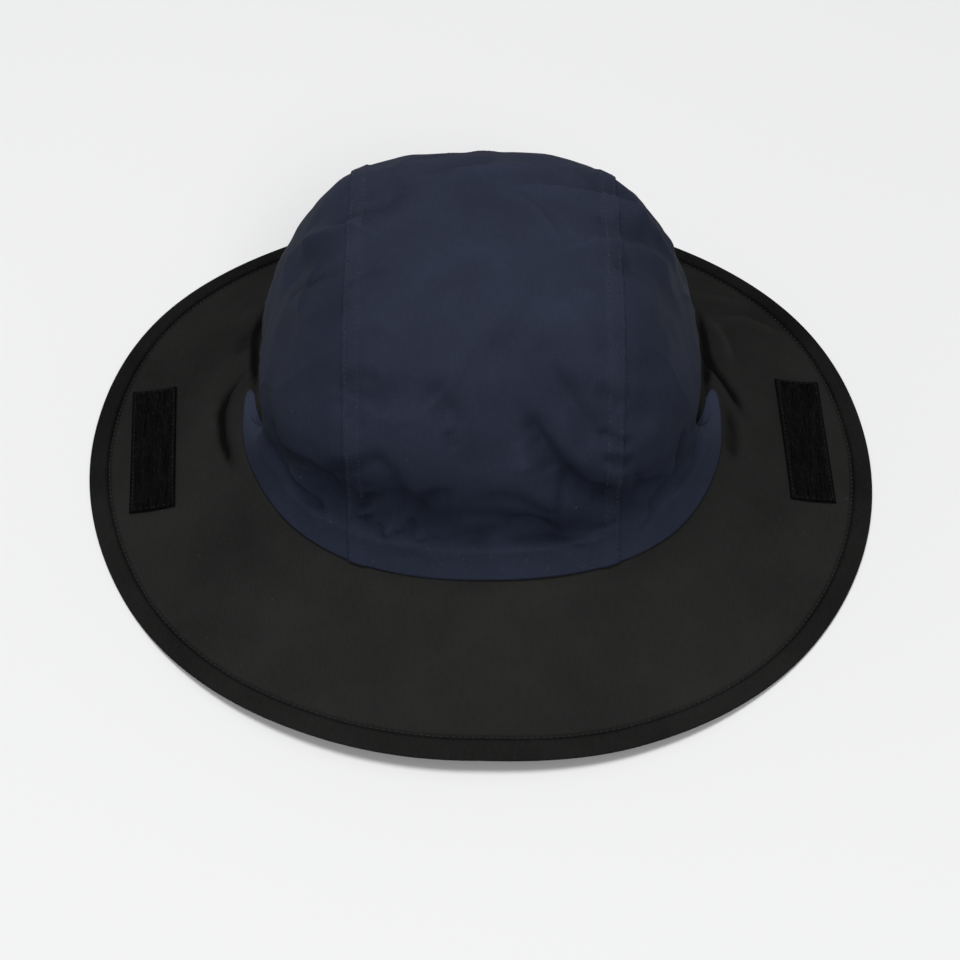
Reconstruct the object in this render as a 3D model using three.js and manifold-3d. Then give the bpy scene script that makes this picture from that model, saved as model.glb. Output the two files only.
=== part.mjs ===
// A wide-brimmed cloth sun hat, standing on its brim as it would on a table.
// Millimetres, +Z up, the front of the hat towards -Y, left and right as seen from the front.
// The origin is on the table, under the middle of the brim.
// A turn is an angle round the hat in degrees: 0 at the front, 90 at the right, 180 at the back.
import * as THREE from 'three';
import { mergeVertices } from 'three/addons/utils/BufferGeometryUtils.js';
import Module from 'manifold-3d';

const wasm = await Module();
wasm.setup();

// Driving dimensions of the brim
const brimWidth = 354; // right across the brim
const brimThickness = 2.4; // two cloths and the stiff layer between them
const hemWidth = 9; // turned edge, from the stitch line to the edge
const hemRise = 0.5; // the turned edge is thicker than the brim by this
const frontLift = 6; // the edge stands this far off the table at the front
const seamHeight = 30; // top of the brim where the crown is sewn on, at the front

// Driving dimensions of the crown
const seamWidth = 215; // across the crown's flared lower edge
const seamReach = 97; // from the middle to the crown's lower edge at the front
const crownWidth = 189; // across the widest level, side to side
const crownLength = 181; // along the widest level, front to back
const crownHeight = 142.5; // top of the crown above the table
const crownThickness = 1.4; // wall of the crown
const flareRise = 7; // the foot of the wall stands this far above the seam at the front
const rearFlare = 0.4; // the seam lies this far outside the wall behind the ears
const rearFootRise = 4; // the gathered back of the wall's foot stands this much higher
const middlePanelWidth = 110; // the panel that runs from front to back over the top
const middlePanelShift = 1.5; // the middle of that panel lies this far to the right

// Where the flared front of the crown ends in two rounded ears, as turns
const earTurn = 95;
const tuckTurn = 79; // the tuck behind each ear runs in to here
const tuckSpan = 4; // turns that the rear edge of an ear takes at the wall
const earRound = 4; // the rear edge of an ear bows back by this
const rearTurn = 112; // the brim's cloth behind the tuck runs out to here

// Driving dimensions of the fastening patches
const patchLength = 76;
const patchWidth = 20.5;
const patchThickness = 1.5;
const patchFromEdge = 18.5; // from the edge of the brim to a patch

// The patches: side is -1 for the left one, turn is where its middle lies round the hat, and twist
// turns it in plan, in degrees
const patches = [
  { name: 'patch_left', side: -1, turn: 91.4, twist: 4.8 },
  { name: 'patch_right', side: 1, turn: 93.5, twist: 0.3 },
];

// Clearance that neighbouring pieces keep
const pieceGap = 0.3;

// The brim's edge: its reach from the middle, as a share of half the width, on either side
const edgeShape = [
  { turn: 0, left: 0.969, right: 0.969 },
  { turn: 20, left: 0.974, right: 0.989 },
  { turn: 45, left: 0.980, right: 1.000 },
  { turn: 70, left: 0.984, right: 0.998 },
  { turn: 95, left: 1.002, right: 0.999 },
  { turn: 122, left: 1.020, right: 1.007 },
  { turn: 150, left: 0.985, right: 0.985 },
  { turn: 180, left: 0.970, right: 0.970 },
];

// How far the edge is lifted off the table, as a share of frontLift
const edgeLift = [
  { turn: 0, left: 1.0, right: 1.0 },
  { turn: 25, left: 0.85, right: 0.6 },
  { turn: 45, left: 0.35, right: 0.1 },
  { turn: 60, left: 0.0, right: 0.0 },
  { turn: 180, left: 0.0, right: 0.0 },
];

// How the brim rises from its hem to the seam: the seam's height as a share of seamHeight, and the
// power of the rise, where 1 is straight and more is hollow, as at the sides that lie on the table
const brimRise = [
  { turn: 0, seam: 1.0, hollow: 1.0 },
  { turn: 30, seam: 0.98, hollow: 1.1 },
  { turn: 55, seam: 0.93, hollow: 1.6 },
  { turn: 80, seam: 0.88, hollow: 2.6 },
  { turn: 110, seam: 0.95, hollow: 2.4 },
  { turn: 145, seam: 1.08, hollow: 1.5 },
  { turn: 180, seam: 1.13, hollow: 1.2 },
];

// The seam's reach from the middle, as a share of its rounded outline, on either side
const seamShape = [
  { turn: 0, left: 1.006, right: 1.006 },
  { turn: 15, left: 1.003, right: 1.008 },
  { turn: 30, left: 0.994, right: 1.014 },
  { turn: 48, left: 0.972, right: 1.01 },
  { turn: 66, left: 0.957, right: 0.992 },
  { turn: 84, left: 0.977, right: 0.997 },
  { turn: 95, left: 0.985, right: 1.0 },
  { turn: 120, left: 1.0, right: 1.0 },
  { turn: 180, left: 1.0, right: 1.0 },
];

// Levels of the crown's wall from its foot to its top.
// rise is a share of the height from foot to top, reach a share of half the crown's width and
// length, and corner the power of the rounded outline: 2 is an ellipse, and more is squarer.
const wallLevels = [
  { rise: 0.0, reach: 0.962, corner: 2.2 },
  { rise: 0.08, reach: 0.955, corner: 2.3 },
  { rise: 0.19, reach: 0.985, corner: 2.5 },
  { rise: 0.3, reach: 1.0, corner: 2.7 },
  { rise: 0.43, reach: 0.968, corner: 2.9 },
  { rise: 0.56, reach: 0.905, corner: 3.1 },
  { rise: 0.69, reach: 0.82, corner: 3.2 },
  { rise: 0.8, reach: 0.74, corner: 3.2 },
  { rise: 0.885, reach: 0.63, corner: 3.1 },
  { rise: 0.945, reach: 0.495, corner: 2.8 },
  { rise: 0.98, reach: 0.335, corner: 2.4 },
  { rise: 1.0, reach: 0.0, corner: 2.0 },
];

// Folds and dents of the crown. Each runs between two places on the wall, given as a turn and a
// level from 0 at the foot to 1 at the top. width and depth are shares of crownHeight, and depth
// is positive for a ridge and negative for a hollow.
const crownFolds = [
  { name: 'left double fold', turn: -64, level: 0.08, toTurn: -44, toLevel: 0.03, width: 0.04, depth: -0.035 },
  { name: 'left front dent', turn: -36, level: 0.26, toTurn: -23, toLevel: 0.23, width: 0.085, depth: -0.05 },
  { name: 'left dent crease', turn: -38, level: 0.15, toTurn: -26, toLevel: 0.15, width: 0.045, depth: -0.02 },
  { name: 'front hollow', turn: -14, level: 0.2, toTurn: 12, toLevel: 0.14, width: 0.075, depth: -0.045 },
  { name: 'front hollow tip', turn: 12, level: 0.14, toTurn: 27, toLevel: 0.04, width: 0.055, depth: -0.03 },
  { name: 'right front dent', turn: 24, level: 0.31, toTurn: 44, toLevel: 0.12, width: 0.065, depth: -0.04 },
  { name: 'right slant fold', turn: 70, level: 0.2, toTurn: 51, toLevel: 0.05, width: 0.05, depth: -0.03 },
  { name: 'middle pad', turn: -18, level: 0.44, toTurn: -4, toLevel: 0.4, width: 0.1, depth: 0.018 },
  { name: 'wedge dent', turn: 16, level: 0.5, toTurn: 19, toLevel: 0.36, width: 0.05, depth: -0.03 },
  { name: 'slanting fold', turn: 22, level: 0.67, toTurn: 29, toLevel: 0.46, width: 0.05, depth: -0.022 },
  { name: 'small dent', turn: -13, level: 0.56, toTurn: -11, toLevel: 0.54, width: 0.045, depth: -0.018 },
  { name: 'left seam pucker', turn: -38, level: 0.53, toTurn: -31, toLevel: 0.54, width: 0.05, depth: -0.02 },
  { name: 'right seam pucker', turn: 34, level: 0.48, toTurn: 44, toLevel: 0.46, width: 0.055, depth: -0.02 },
  { name: 'right top ridge', turn: 125, level: 0.86, toTurn: 108, toLevel: 0.69, width: 0.045, depth: 0.022 },
  { name: 'right shoulder ridge', turn: 108, level: 0.69, toTurn: 110, toLevel: 0.5, width: 0.045, depth: 0.018 },
  { name: 'right second ridge', turn: 76, level: 0.82, toTurn: 91, toLevel: 0.58, width: 0.045, depth: 0.02 },
  { name: 'right top facet', turn: 127, level: 0.84, toTurn: 121, toLevel: 0.71, width: 0.07, depth: -0.032 },
  { name: 'left top ridge', turn: -99, level: 0.6, toTurn: -95, toLevel: 0.8, width: 0.045, depth: 0.02 },
  { name: 'left top facet', turn: -112, level: 0.76, toTurn: -118, toLevel: 0.84, width: 0.07, depth: -0.035 },
  { name: 'left side facet', turn: -95, level: 0.54, toTurn: -86, toLevel: 0.68, width: 0.06, depth: -0.025 },
  { name: 'left rear gather', turn: -128, level: 0.02, toTurn: -122, toLevel: 0.22, width: 0.05, depth: -0.028 },
  { name: 'back gather left', turn: -158, level: 0.02, toTurn: -154, toLevel: 0.22, width: 0.05, depth: -0.03 },
  { name: 'back gather middle', turn: 180, level: 0.02, toTurn: 177, toLevel: 0.26, width: 0.055, depth: -0.03 },
  { name: 'back gather right', turn: 156, level: 0.02, toTurn: 151, toLevel: 0.22, width: 0.05, depth: -0.03 },
  { name: 'right rear gather', turn: 127, level: 0.02, toTurn: 122, toLevel: 0.22, width: 0.05, depth: -0.028 },
];

// Creases of the brim round the ears and behind. reach is a share of the way from the seam to the
// edge, width and depth are shares of brimWidth, and depth is positive for a ridge.
const brimFolds = [
  { name: 'ditch outside left ear', turn: -104, reach: 0.1, toTurn: -76, toReach: 0.12, width: 0.012, depth: -0.009 },
  { name: 'roll beyond left ditch', turn: -100, reach: 0.22, toTurn: -80, toReach: 0.2, width: 0.018, depth: 0.005 },
  { name: 'ditch outside right ear', turn: 112, reach: 0.1, toTurn: 96, toReach: 0.15, width: 0.012, depth: -0.009 },
  { name: 'roll beyond right ditch', turn: 116, reach: 0.2, toTurn: 98, toReach: 0.25, width: 0.016, depth: 0.006 },
  { name: 'right rear crease', turn: 128, reach: 0.3, toTurn: 121, toReach: 0.7, width: 0.014, depth: 0.005 },
  { name: 'back gather left', turn: -156, reach: 0.0, toTurn: -152, toReach: 0.4, width: 0.016, depth: -0.008 },
  { name: 'back gather middle', turn: 178, reach: 0.0, toTurn: 176, toReach: 0.4, width: 0.018, depth: -0.008 },
  { name: 'back gather right', turn: 154, reach: 0.0, toTurn: 151, toReach: 0.4, width: 0.016, depth: -0.008 },
];

// Folds fade out over this share of the levels at the foot of the wall and at its top
const foldFadeAtFoot = 0.06;
const foldFadeAtTop = 0.05;

// The flared band's thickness leans from upright at the seam to this angle at the foot of the wall
const flareLean = 25;
const flareLeanPower = 5; // more keeps it upright for longer

// Rows of the faceted surfaces, and the columns in half a round of the hat
const wallRows = 18;
const flareRows = 2;
const frontColumns = 17;
const tuckColumns = 3;
const rearColumns = 19;
const collarWidth = 1; // first row of the brim outside the seam
const sharpCornerReach = 3; // at a sharp corner of the seam a row lies at most this much further out
const collarShare = 0.12; // second row, as a share of the way from the seam to the hem
const brimRows = 5; // rows from that one to the hem
const hemStepShare = 0.12; // share of the hem's width over which the hem grows thicker
const patchColumns = 2; // across a patch
const patchRows = 12; // along a patch
const cornerPower = 2.25; // of the seam's outline
const levelStep = 0.01; // between the levels from which the wall's direction is taken

const finishes = {
  navy: { color: 0x262a36, roughness: 0.75 },
  black: { color: 0x222221, roughness: 0.85 },
  patch: { color: 0x121212, roughness: 0.95 },
};

const radians = THREE.MathUtils.degToRad;
const mix = THREE.MathUtils.lerp;
const ease = THREE.MathUtils.smoothstep;

// A turn brought into -180 to 180, whose sign tells the side
function sidedTurn(turn) {
  return turn > 180 ? turn - 360 : turn;
}

// Smooth value of a table column at a place, through its rows
function tableValue(table, place, at, column) {
  const last = table.length - 1;
  let row = 0;
  while (row < last - 1 && table[row + 1][place] < at) row += 1;
  const value = (index) => table[Math.min(Math.max(index, 0), last)][column];
  const share = (at - table[row][place]) / (table[row + 1][place] - table[row][place]);
  const spline = new THREE.CubicInterpolant(
    [-1, 0, 1, 2], [value(row - 1), value(row), value(row + 1), value(row + 2)], 1, new Float64Array(1));
  return spline.evaluate(THREE.MathUtils.clamp(share, 0, 1))[0];
}

// Value of a table that has a left and a right column for the two sides of the hat
function sideValue(table, turn) {
  const sided = sidedTurn(turn);
  return tableValue(table, 'turn', Math.abs(sided), sided < 0 ? 'left' : 'right');
}

// Radius of a rounded outline with half sizes a (sideways) and b (front to back)
function outlineReach(turn, a, b, power) {
  const sideways = Math.abs(Math.sin(radians(turn)) / a) ** power;
  const lengthways = Math.abs(Math.cos(radians(turn)) / b) ** power;
  return (sideways + lengthways) ** (-1 / power);
}

function polar(turn, reach, height) {
  return new THREE.Vector3(reach * Math.sin(radians(turn)), -reach * Math.cos(radians(turn)), height);
}

function turnOf(point) {
  return THREE.MathUtils.radToDeg(Math.atan2(point.x, -point.y));
}

// How strongly a fold acts at a distance from its line
function foldStrength(distance, width) {
  return Math.exp(-((distance / width) ** 2));
}

// The brim

function edgeReach(turn) {
  return (brimWidth / 2) * sideValue(edgeShape, turn);
}

function seamOutline(turn) {
  return outlineReach(turn, seamWidth / 2, seamReach, cornerPower) * sideValue(seamShape, turn);
}

// Height of the top of the brim on its plain cone, before creases
function brimCone(turn, reach) {
  const lift = frontLift * Math.max(sideValue(edgeLift, turn), 0);
  const hemReach = edgeReach(turn) - hemWidth;
  const hemTop = brimThickness + lift * (1 + hemWidth / seamHeight);
  if (reach > hemReach) {
    return mix(hemTop, brimThickness + lift, (reach - hemReach) / hemWidth);
  }
  const size = Math.abs(sidedTurn(turn));
  const seamTop = seamHeight * tableValue(brimRise, 'turn', size, 'seam');
  const share = (hemReach - reach) / (hemReach - seamOutline(turn));
  const bend = share < 1 ? tableValue(brimRise, 'turn', size, 'hollow') : 1;
  return hemTop + (seamTop - hemTop) * share ** bend;
}

const brimCreases = brimFolds.map((fold) => {
  const place = (turn, share) => polar(turn, mix(seamOutline(turn), edgeReach(turn) - hemWidth, share), 0);
  return {
    line: new THREE.Line3(place(fold.turn, fold.reach), place(fold.toTurn, fold.toReach)),
    width: fold.width * brimWidth,
    depth: fold.depth * brimWidth,
  };
});

// Height of the top of the brim with its creases, over a place in plan
function brimTop(point) {
  const flat = new THREE.Vector3(point.x, point.y, 0);
  const near = new THREE.Vector3();
  let height = brimCone(turnOf(flat), flat.length());
  for (const { line, width, depth } of brimCreases) {
    line.closestPointToPoint(flat, true, near);
    height += depth * foldStrength(near.distanceTo(flat), width);
  }
  return height;
}

// The crown

const foot = wallLevels[0];
const numberedLevels = wallLevels.map((row, index) => ({ ...row, index }));

function wallReach(turn, reach, corner) {
  return reach * outlineReach(turn, crownWidth / 2, crownLength / 2, corner);
}

// Share of the way from the wall out to the ear's tip: 1 in front, and 0 behind the tuck
function flareShare(turn) {
  const past = (Math.abs(sidedTurn(turn)) - tuckTurn) / tuckSpan;
  return 1 - Math.cbrt(THREE.MathUtils.clamp(past, 0, 1));
}

// Place of the crown's lower edge for a column of the wall, in plan.
// In front it follows the seam's outline out to the ears, and behind the tuck it follows the wall.
function seamPlace(turn) {
  const sided = sidedTurn(turn);
  const wall = polar(sided, wallReach(sided, foot.reach, foot.corner) + rearFlare, 0);
  const spread = Math.min(Math.abs(sided) / tuckTurn, 1) * earTurn * Math.sign(sided);
  const share = flareShare(turn);
  const bow = earRound * 4 * share * (1 - share);
  return wall.lerp(polar(spread, seamOutline(spread), 0), share).add(new THREE.Vector3(0, bow, 0));
}

function seamPoint(turn) {
  const place = seamPlace(turn);
  return place.setZ(brimTop(place));
}

function footHeight(turn) {
  return seamHeight + flareRise + rearFootRise * ease(Math.abs(sidedTurn(turn)), tuckTurn, 180);
}

// Place on the smooth wall for a turn and a level from 0 at the foot to 1 at the top
function wallPoint(turn, level) {
  const at = level * (wallLevels.length - 1);
  const rise = tableValue(numberedLevels, 'index', at, 'rise');
  const reach = Math.max(tableValue(numberedLevels, 'index', at, 'reach'), 0);
  const corner = tableValue(numberedLevels, 'index', at, 'corner');
  const height = mix(footHeight(turn), crownHeight, rise);
  return polar(turn, level === 1 ? 0 : wallReach(turn, reach, corner), height);
}

// Direction out of the smooth wall, in the upright plane of its turn
function wallNormal(turn, level) {
  const low = wallPoint(turn, Math.max(level - levelStep, 0));
  const high = wallPoint(turn, Math.min(level + levelStep, 1));
  const inward = Math.hypot(low.x, low.y) - Math.hypot(high.x, high.y);
  return polar(turn, high.z - low.z, inward).normalize();
}

const wallFolds = crownFolds.map((fold) => ({
  line: new THREE.Line3(wallPoint(fold.turn, fold.level), wallPoint(fold.toTurn, fold.toLevel)),
  width: fold.width * crownHeight,
  depth: fold.depth * crownHeight,
}));

function foldShift(point) {
  const near = new THREE.Vector3();
  return wallFolds.reduce((sum, { line, width, depth }) => {
    line.closestPointToPoint(point, true, near);
    return sum + depth * foldStrength(near.distanceTo(point), width);
  }, 0);
}

// A point of the crown's wall. inset is how far it lies inside the outer surface.
function crownPoint(turn, level, inset) {
  if (level === 1) return new THREE.Vector3(0, 0, crownHeight - inset);
  const point = wallPoint(turn, level);
  const normal = wallNormal(turn, level);
  const settle = ease(level, 0, foldFadeAtFoot) * ease(1 - level, 0, foldFadeAtTop);
  return point.addScaledVector(normal, foldShift(point) * settle - inset);
}

// A point of the flared lower band, from 0 at the seam to 1 at the foot of the wall
function flarePoint(turn, share, inset) {
  const point = seamPoint(turn).lerp(wallPoint(turn, 0), share);
  const lean = mix(90, flareLean, share ** flareLeanPower);
  const normal = polar(turn, Math.cos(radians(lean)), Math.sin(radians(lean)));
  return point.addScaledVector(normal, -inset);
}

// Columns round the hat, as turns of the crown's wall, closer together at the two tucks
function columnTurns() {
  const half = [];
  for (let i = 0; i < frontColumns; i += 1) half.push((tuckTurn * i) / frontColumns);
  for (let i = 0; i < tuckColumns; i += 1) half.push(tuckTurn + tuckSpan * (i / tuckColumns) ** 3);
  const rearStart = tuckTurn + tuckSpan;
  for (let i = 0; i < rearColumns; i += 1) half.push(mix(rearStart, 180, i / rearColumns));
  const other = half.slice(1).reverse().map((turn) => 360 - turn);
  return [...half, 180, ...other, 360];
}

const columns = columnTurns();

// A closed ring or cap: a lathe of as many rows as place gives, moved point by point
function turnedSolid(rows, place) {
  const outline = rows.map((row, index) => new THREE.Vector2(row.onAxis ? 0 : 1, index));
  const geometry = new THREE.LatheGeometry(outline, columns.length - 1);
  const positions = geometry.attributes.position;
  for (let index = 0; index < positions.count; index += 1) {
    const column = Math.floor(index / rows.length) % (columns.length - 1);
    const point = place(rows[index % rows.length], column);
    positions.setXYZ(index, point.x, point.y, point.z);
  }
  return closedGeometry(geometry);
}

// The same geometry with shared vertices and without triangles that have no area
function closedGeometry(geometry) {
  geometry.deleteAttribute('normal');
  geometry.deleteAttribute('uv');
  const merged = mergeVertices(geometry);
  const kept = [];
  for (let i = 0; i < merged.index.count; i += 3) {
    const [a, b, c] = [0, 1, 2].map((corner) => merged.index.getX(i + corner));
    if (a !== b && b !== c && c !== a) kept.push(a, b, c);
  }
  merged.setIndex(kept);
  return merged;
}

function crownShell() {
  const wall = Array.from({ length: wallRows + 1 }, (_, i) => ({ level: i / wallRows }));
  const flare = Array.from({ length: flareRows }, (_, i) => ({ share: i / flareRows }));
  const upward = [...flare, ...wall];
  const rows = [
    ...upward.map((row) => ({ ...row, inset: crownThickness, onAxis: row.level === 1 })).reverse(),
    ...upward.map((row) => ({ ...row, inset: 0, onAxis: row.level === 1 })),
  ];
  return turnedSolid(rows, (row, column) => (
    row.level === undefined
      ? flarePoint(columns[column], row.share, row.inset)
      : crownPoint(columns[column], row.level, row.inset)));
}

// Turn of the brim's outer part for a column of the wall
function brimTurn(turn) {
  const sided = sidedTurn(turn);
  const size = Math.abs(sided);
  const rearStart = tuckTurn + tuckSpan;
  if (size <= tuckTurn) return sided * (earTurn / tuckTurn);
  const at = size < rearStart
    ? mix(rearTurn, earTurn, flareShare(turn))
    : mix(rearTurn, 180, (size - rearStart) / (180 - rearStart));
  return at * Math.sign(sided);
}

// Places outside the crown's lower edge at a distance from it, one for each column
function placesOutsideSeam(distance) {
  const places = columns.slice(0, -1).map(seamPlace);
  const count = places.length;
  return places.map((place, index) => {
    const before = place.clone().sub(places[(index + count - 1) % count]).normalize();
    const after = places[(index + 1) % count].clone().sub(place).normalize();
    const outAfter = new THREE.Vector3(after.y, -after.x, 0);
    const out = new THREE.Vector3(before.y, -before.x, 0).add(outAfter).normalize();
    const reach = Math.min(distance / out.dot(outAfter), distance + sharpCornerReach);
    return place.clone().addScaledVector(out, reach);
  });
}

function brimRing() {
  const innerPlaces = [pieceGap, collarWidth].map(placesOutsideSeam);
  const across = [
    { ring: 0 },
    { ring: 1 },
    ...Array.from({ length: brimRows }, (_, i) => ({ share: mix(collarShare, 1, i / brimRows) })),
    { share: 1, hem: 0 },
    { share: 1, hem: hemStepShare },
    { share: 1, hem: 1 },
  ];
  const rows = [
    ...across.map((row) => ({ ...row, drop: brimThickness })),
    ...across.map((row) => ({ ...row, drop: 0 })).reverse(),
  ];
  rows.push(rows[0]);
  return turnedSolid(rows, (row, column) => {
    const turn = brimTurn(columns[column]);
    const hemLine = edgeReach(turn) - hemWidth;
    const place = row.share === undefined
      ? innerPlaces[row.ring][column].clone()
      : polar(turn, mix(seamOutline(turn), hemLine, row.share) + hemWidth * (row.hem ?? 0), 0);
    const thicker = row.hem && !row.drop ? hemRise : 0;
    return place.setZ(brimTop(place) - row.drop + thicker);
  });
}

// A manifold solid from a closed geometry, and back
function toSolid(geometry) {
  return new wasm.Manifold(new wasm.Mesh({
    numProp: 3,
    vertProperties: new Float32Array(geometry.attributes.position.array),
    triVerts: new Uint32Array(geometry.index.array),
  }));
}

function toGeometry(solid) {
  const mesh = solid.getMesh();
  const geometry = new THREE.BufferGeometry();
  geometry.setAttribute('position', new THREE.BufferAttribute(new Float32Array(mesh.vertProperties), 3));
  geometry.setIndex(new THREE.BufferAttribute(new Uint32Array(mesh.triVerts), 1));
  return geometry;
}

// A block that holds everything of the crown between two planes across the hat
function slab(fromX, toX) {
  const room = 2 * (crownWidth + crownLength + crownHeight);
  const block = new THREE.BoxGeometry(toX - fromX, room, room);
  block.translate((fromX + toX) / 2, 0, 0);
  return toSolid(closedGeometry(block));
}

function clothMaterial(finish) {
  return new THREE.MeshStandardMaterial({ ...finish, metalness: 0 });
}

function addPiece(group, name, geometry, material) {
  const mesh = new THREE.Mesh(geometry, material);
  mesh.name = name;
  group.add(mesh);
}

// The crown's three panels, cut from one shell along the two long seams
function addCrownPanels(group) {
  const shell = toSolid(crownShell());
  const leftSeam = middlePanelShift - middlePanelWidth / 2;
  const rightSeam = middlePanelShift + middlePanelWidth / 2;
  const beyond = crownWidth + seamWidth;
  const cuts = [
    ['crown_middle', leftSeam, rightSeam],
    ['crown_left', -beyond, leftSeam - pieceGap],
    ['crown_right', rightSeam + pieceGap, beyond],
  ];
  const navy = clothMaterial(finishes.navy);
  for (const [name, from, to] of cuts) {
    addPiece(group, name, toGeometry(shell.intersect(slab(from, to))), navy);
  }
}

// A fastening patch: a thin strip that follows the brim
function addPatch(group, { name, side, turn, twist }) {
  const sided = turn * side;
  const mid = polar(sided, edgeReach(sided) - patchFromEdge - patchWidth / 2, 0);
  const box = new THREE.BoxGeometry(patchWidth, patchLength, patchThickness, patchColumns, patchRows, 1);
  box.rotateZ(radians(twist));
  box.translate(mid.x, mid.y, 0);
  const geometry = closedGeometry(box);
  const positions = geometry.attributes.position;
  for (let i = 0; i < positions.count; i += 1) {
    const point = new THREE.Vector3().fromBufferAttribute(positions, i);
    const aboveBrim = pieceGap + patchThickness / 2 + point.z;
    positions.setZ(i, brimTop(point) + aboveBrim);
  }
  addPiece(group, name, geometry, clothMaterial(finishes.patch));
}

const hat = new THREE.Group();
addCrownPanels(hat);
addPiece(hat, 'brim', brimRing(), clothMaterial(finishes.black));
for (const patch of patches) addPatch(hat, patch);

export default hat;
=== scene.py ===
import math
import random

import bmesh
import bpy
import numpy as np
from mathutils import Matrix, Vector, noise
from mathutils.bvhtree import BVHTree


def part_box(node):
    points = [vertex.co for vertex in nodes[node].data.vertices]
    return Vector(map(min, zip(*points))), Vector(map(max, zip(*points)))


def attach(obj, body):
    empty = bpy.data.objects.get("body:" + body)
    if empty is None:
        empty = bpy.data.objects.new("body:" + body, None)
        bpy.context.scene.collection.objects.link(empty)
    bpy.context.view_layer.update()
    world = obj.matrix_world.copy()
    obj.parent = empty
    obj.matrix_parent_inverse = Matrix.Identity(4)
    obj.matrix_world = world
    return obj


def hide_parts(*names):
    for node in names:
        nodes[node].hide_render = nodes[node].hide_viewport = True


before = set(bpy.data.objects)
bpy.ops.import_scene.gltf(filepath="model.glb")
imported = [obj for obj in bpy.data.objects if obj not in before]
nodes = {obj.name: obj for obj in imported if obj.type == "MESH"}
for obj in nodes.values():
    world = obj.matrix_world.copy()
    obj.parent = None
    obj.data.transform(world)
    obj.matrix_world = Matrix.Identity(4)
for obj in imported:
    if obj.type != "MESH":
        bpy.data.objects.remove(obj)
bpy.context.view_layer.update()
random.seed(7)
print("frame loaded:", sorted(nodes))

mm = 0.001  # shapes are worked out in millimetres, and made in metres
turnOfBack = 180.0


# Camera, light and floor

view = {
    "elevation": 47.0,  # degrees above the table
    "distance": 1.0,
    "aim": (0.0, -0.012, 0.0),
    "lens": 83.3,
    "sensor": 36.0,
}
studio = {
    "world": (0.93, 0.94, 0.96),
    "worldStrength": 0.3,
    "floor": (0.86, 0.86, 0.862),
    "floorRoughness": 0.9,
    "floorSize": 4.0,
    "lampAim": (0, 0, 0.05),
    "lamps": [
        # name, place, size, power in watts
        ("top softbox", (-0.35, 0.1, 3.0), 1.3, 55.0),
        ("front softbox", (0.5, -2.6, 2.4), 1.3, 34.0),
    ],
}


def makeCamera():
    rise = math.radians(view["elevation"])
    aim = Vector(view["aim"])
    data = bpy.data.cameras.new("photo view")
    data.lens = view["lens"]
    data.sensor_width = view["sensor"]
    data.sensor_fit = "HORIZONTAL"
    camera = addObject("photo view", data)
    camera.location = aim + view["distance"] * Vector((0, -math.cos(rise), math.sin(rise)))
    camera.rotation_euler = (math.radians(90 - view["elevation"]), 0, 0)
    bpy.context.scene.camera = camera


def makeLights():
    world = bpy.data.worlds.new("studio")
    world.use_nodes = True
    back = world.node_tree.nodes["Background"]
    back.inputs["Color"].default_value = (*studio["world"], 1)
    back.inputs["Strength"].default_value = studio["worldStrength"]
    bpy.context.scene.world = world
    for name, place, size, power in studio["lamps"]:
        data = bpy.data.lights.new(name, "AREA")
        data.shape = "DISK"
        data.size = size
        data.energy = power
        lamp = addObject(name, data)
        lamp.location = place
        way = Vector(studio["lampAim"]) - Vector(place)
        lamp.rotation_euler = way.to_track_quat("-Z", "Y").to_euler()


def makeFloor():
    bm = bmesh.new()
    bmesh.ops.create_grid(bm, x_segments=2, y_segments=2, size=studio["floorSize"])
    floor = meshObject(bm, "floor")
    material, links, put = newMaterial("studio floor")
    shader = put("ShaderNodeBsdfPrincipled", Roughness=studio["floorRoughness"])
    shader.inputs["Base Color"].default_value = (*studio["floor"], 1)
    links.new(shader.outputs[0], put("ShaderNodeOutputMaterial").inputs[0])
    floor.data.materials.append(material)


# Small helpers

def addObject(name, data):
    added = bpy.data.objects.new(name, data)
    bpy.context.scene.collection.objects.link(added)
    return added


def meshObject(bm, name):
    mesh = bpy.data.meshes.new(name)
    bm.to_mesh(mesh)
    bm.free()
    return addObject(name, mesh)


def newMaterial(name):
    material = bpy.data.materials.new(name)
    material.use_nodes = True
    tree = material.node_tree
    tree.nodes.clear()

    def put(kind, **values):
        node = tree.nodes.new(kind)
        for key, value in values.items():
            if key in node.inputs:
                node.inputs[key].default_value = value
            else:
                setattr(node, key, value)
        return node

    return material, tree.links, put


def smoothFaces(piece):
    piece.data.polygons.foreach_set("use_smooth", [True] * len(piece.data.polygons))


# The hat's form, in millimetres
# A turn is an angle round the hat in degrees: 0 at the front, 90 at the right, -90 at the left.

form = {
    "brimWidth": 354.0,
    "brimThickness": 2.4,
    "hemWidth": 9.0,
    "frontLift": 6.0,
    "seamHeight": 30.0,
    "seamWidth": 215.0,
    "seamReach": 97.0,
    "crownWidth": 189.0,
    "crownLength": 181.0,
    "crownHeight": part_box("crown_middle")[1].z / mm,
    "flareRise": 7.0,
    "rearFlare": 0.4,
    "rearFootRise": 4.0,
    "earTurn": 99.0,  # where the tips of the ears lie
    "tuckTurn": 79.0,  # the tuck behind each ear runs in to here
    "tuckSpan": 4.0,  # turns that the rear edge of an ear takes at the wall
    "earMiddle": 80.0,  # the ears' tips are rounded about this turn of the wall
    "earRounded": (6.0, 12.0),  # turns either side in which they are, fully and at all
    "earPasses": 20,  # more rounds them further
    "cornerPower": 2.25,
    "foldFadeAtFoot": 0.06,
    "foldFadeAtTop": 0.05,
    "brimTaper": 0.3,
}

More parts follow.
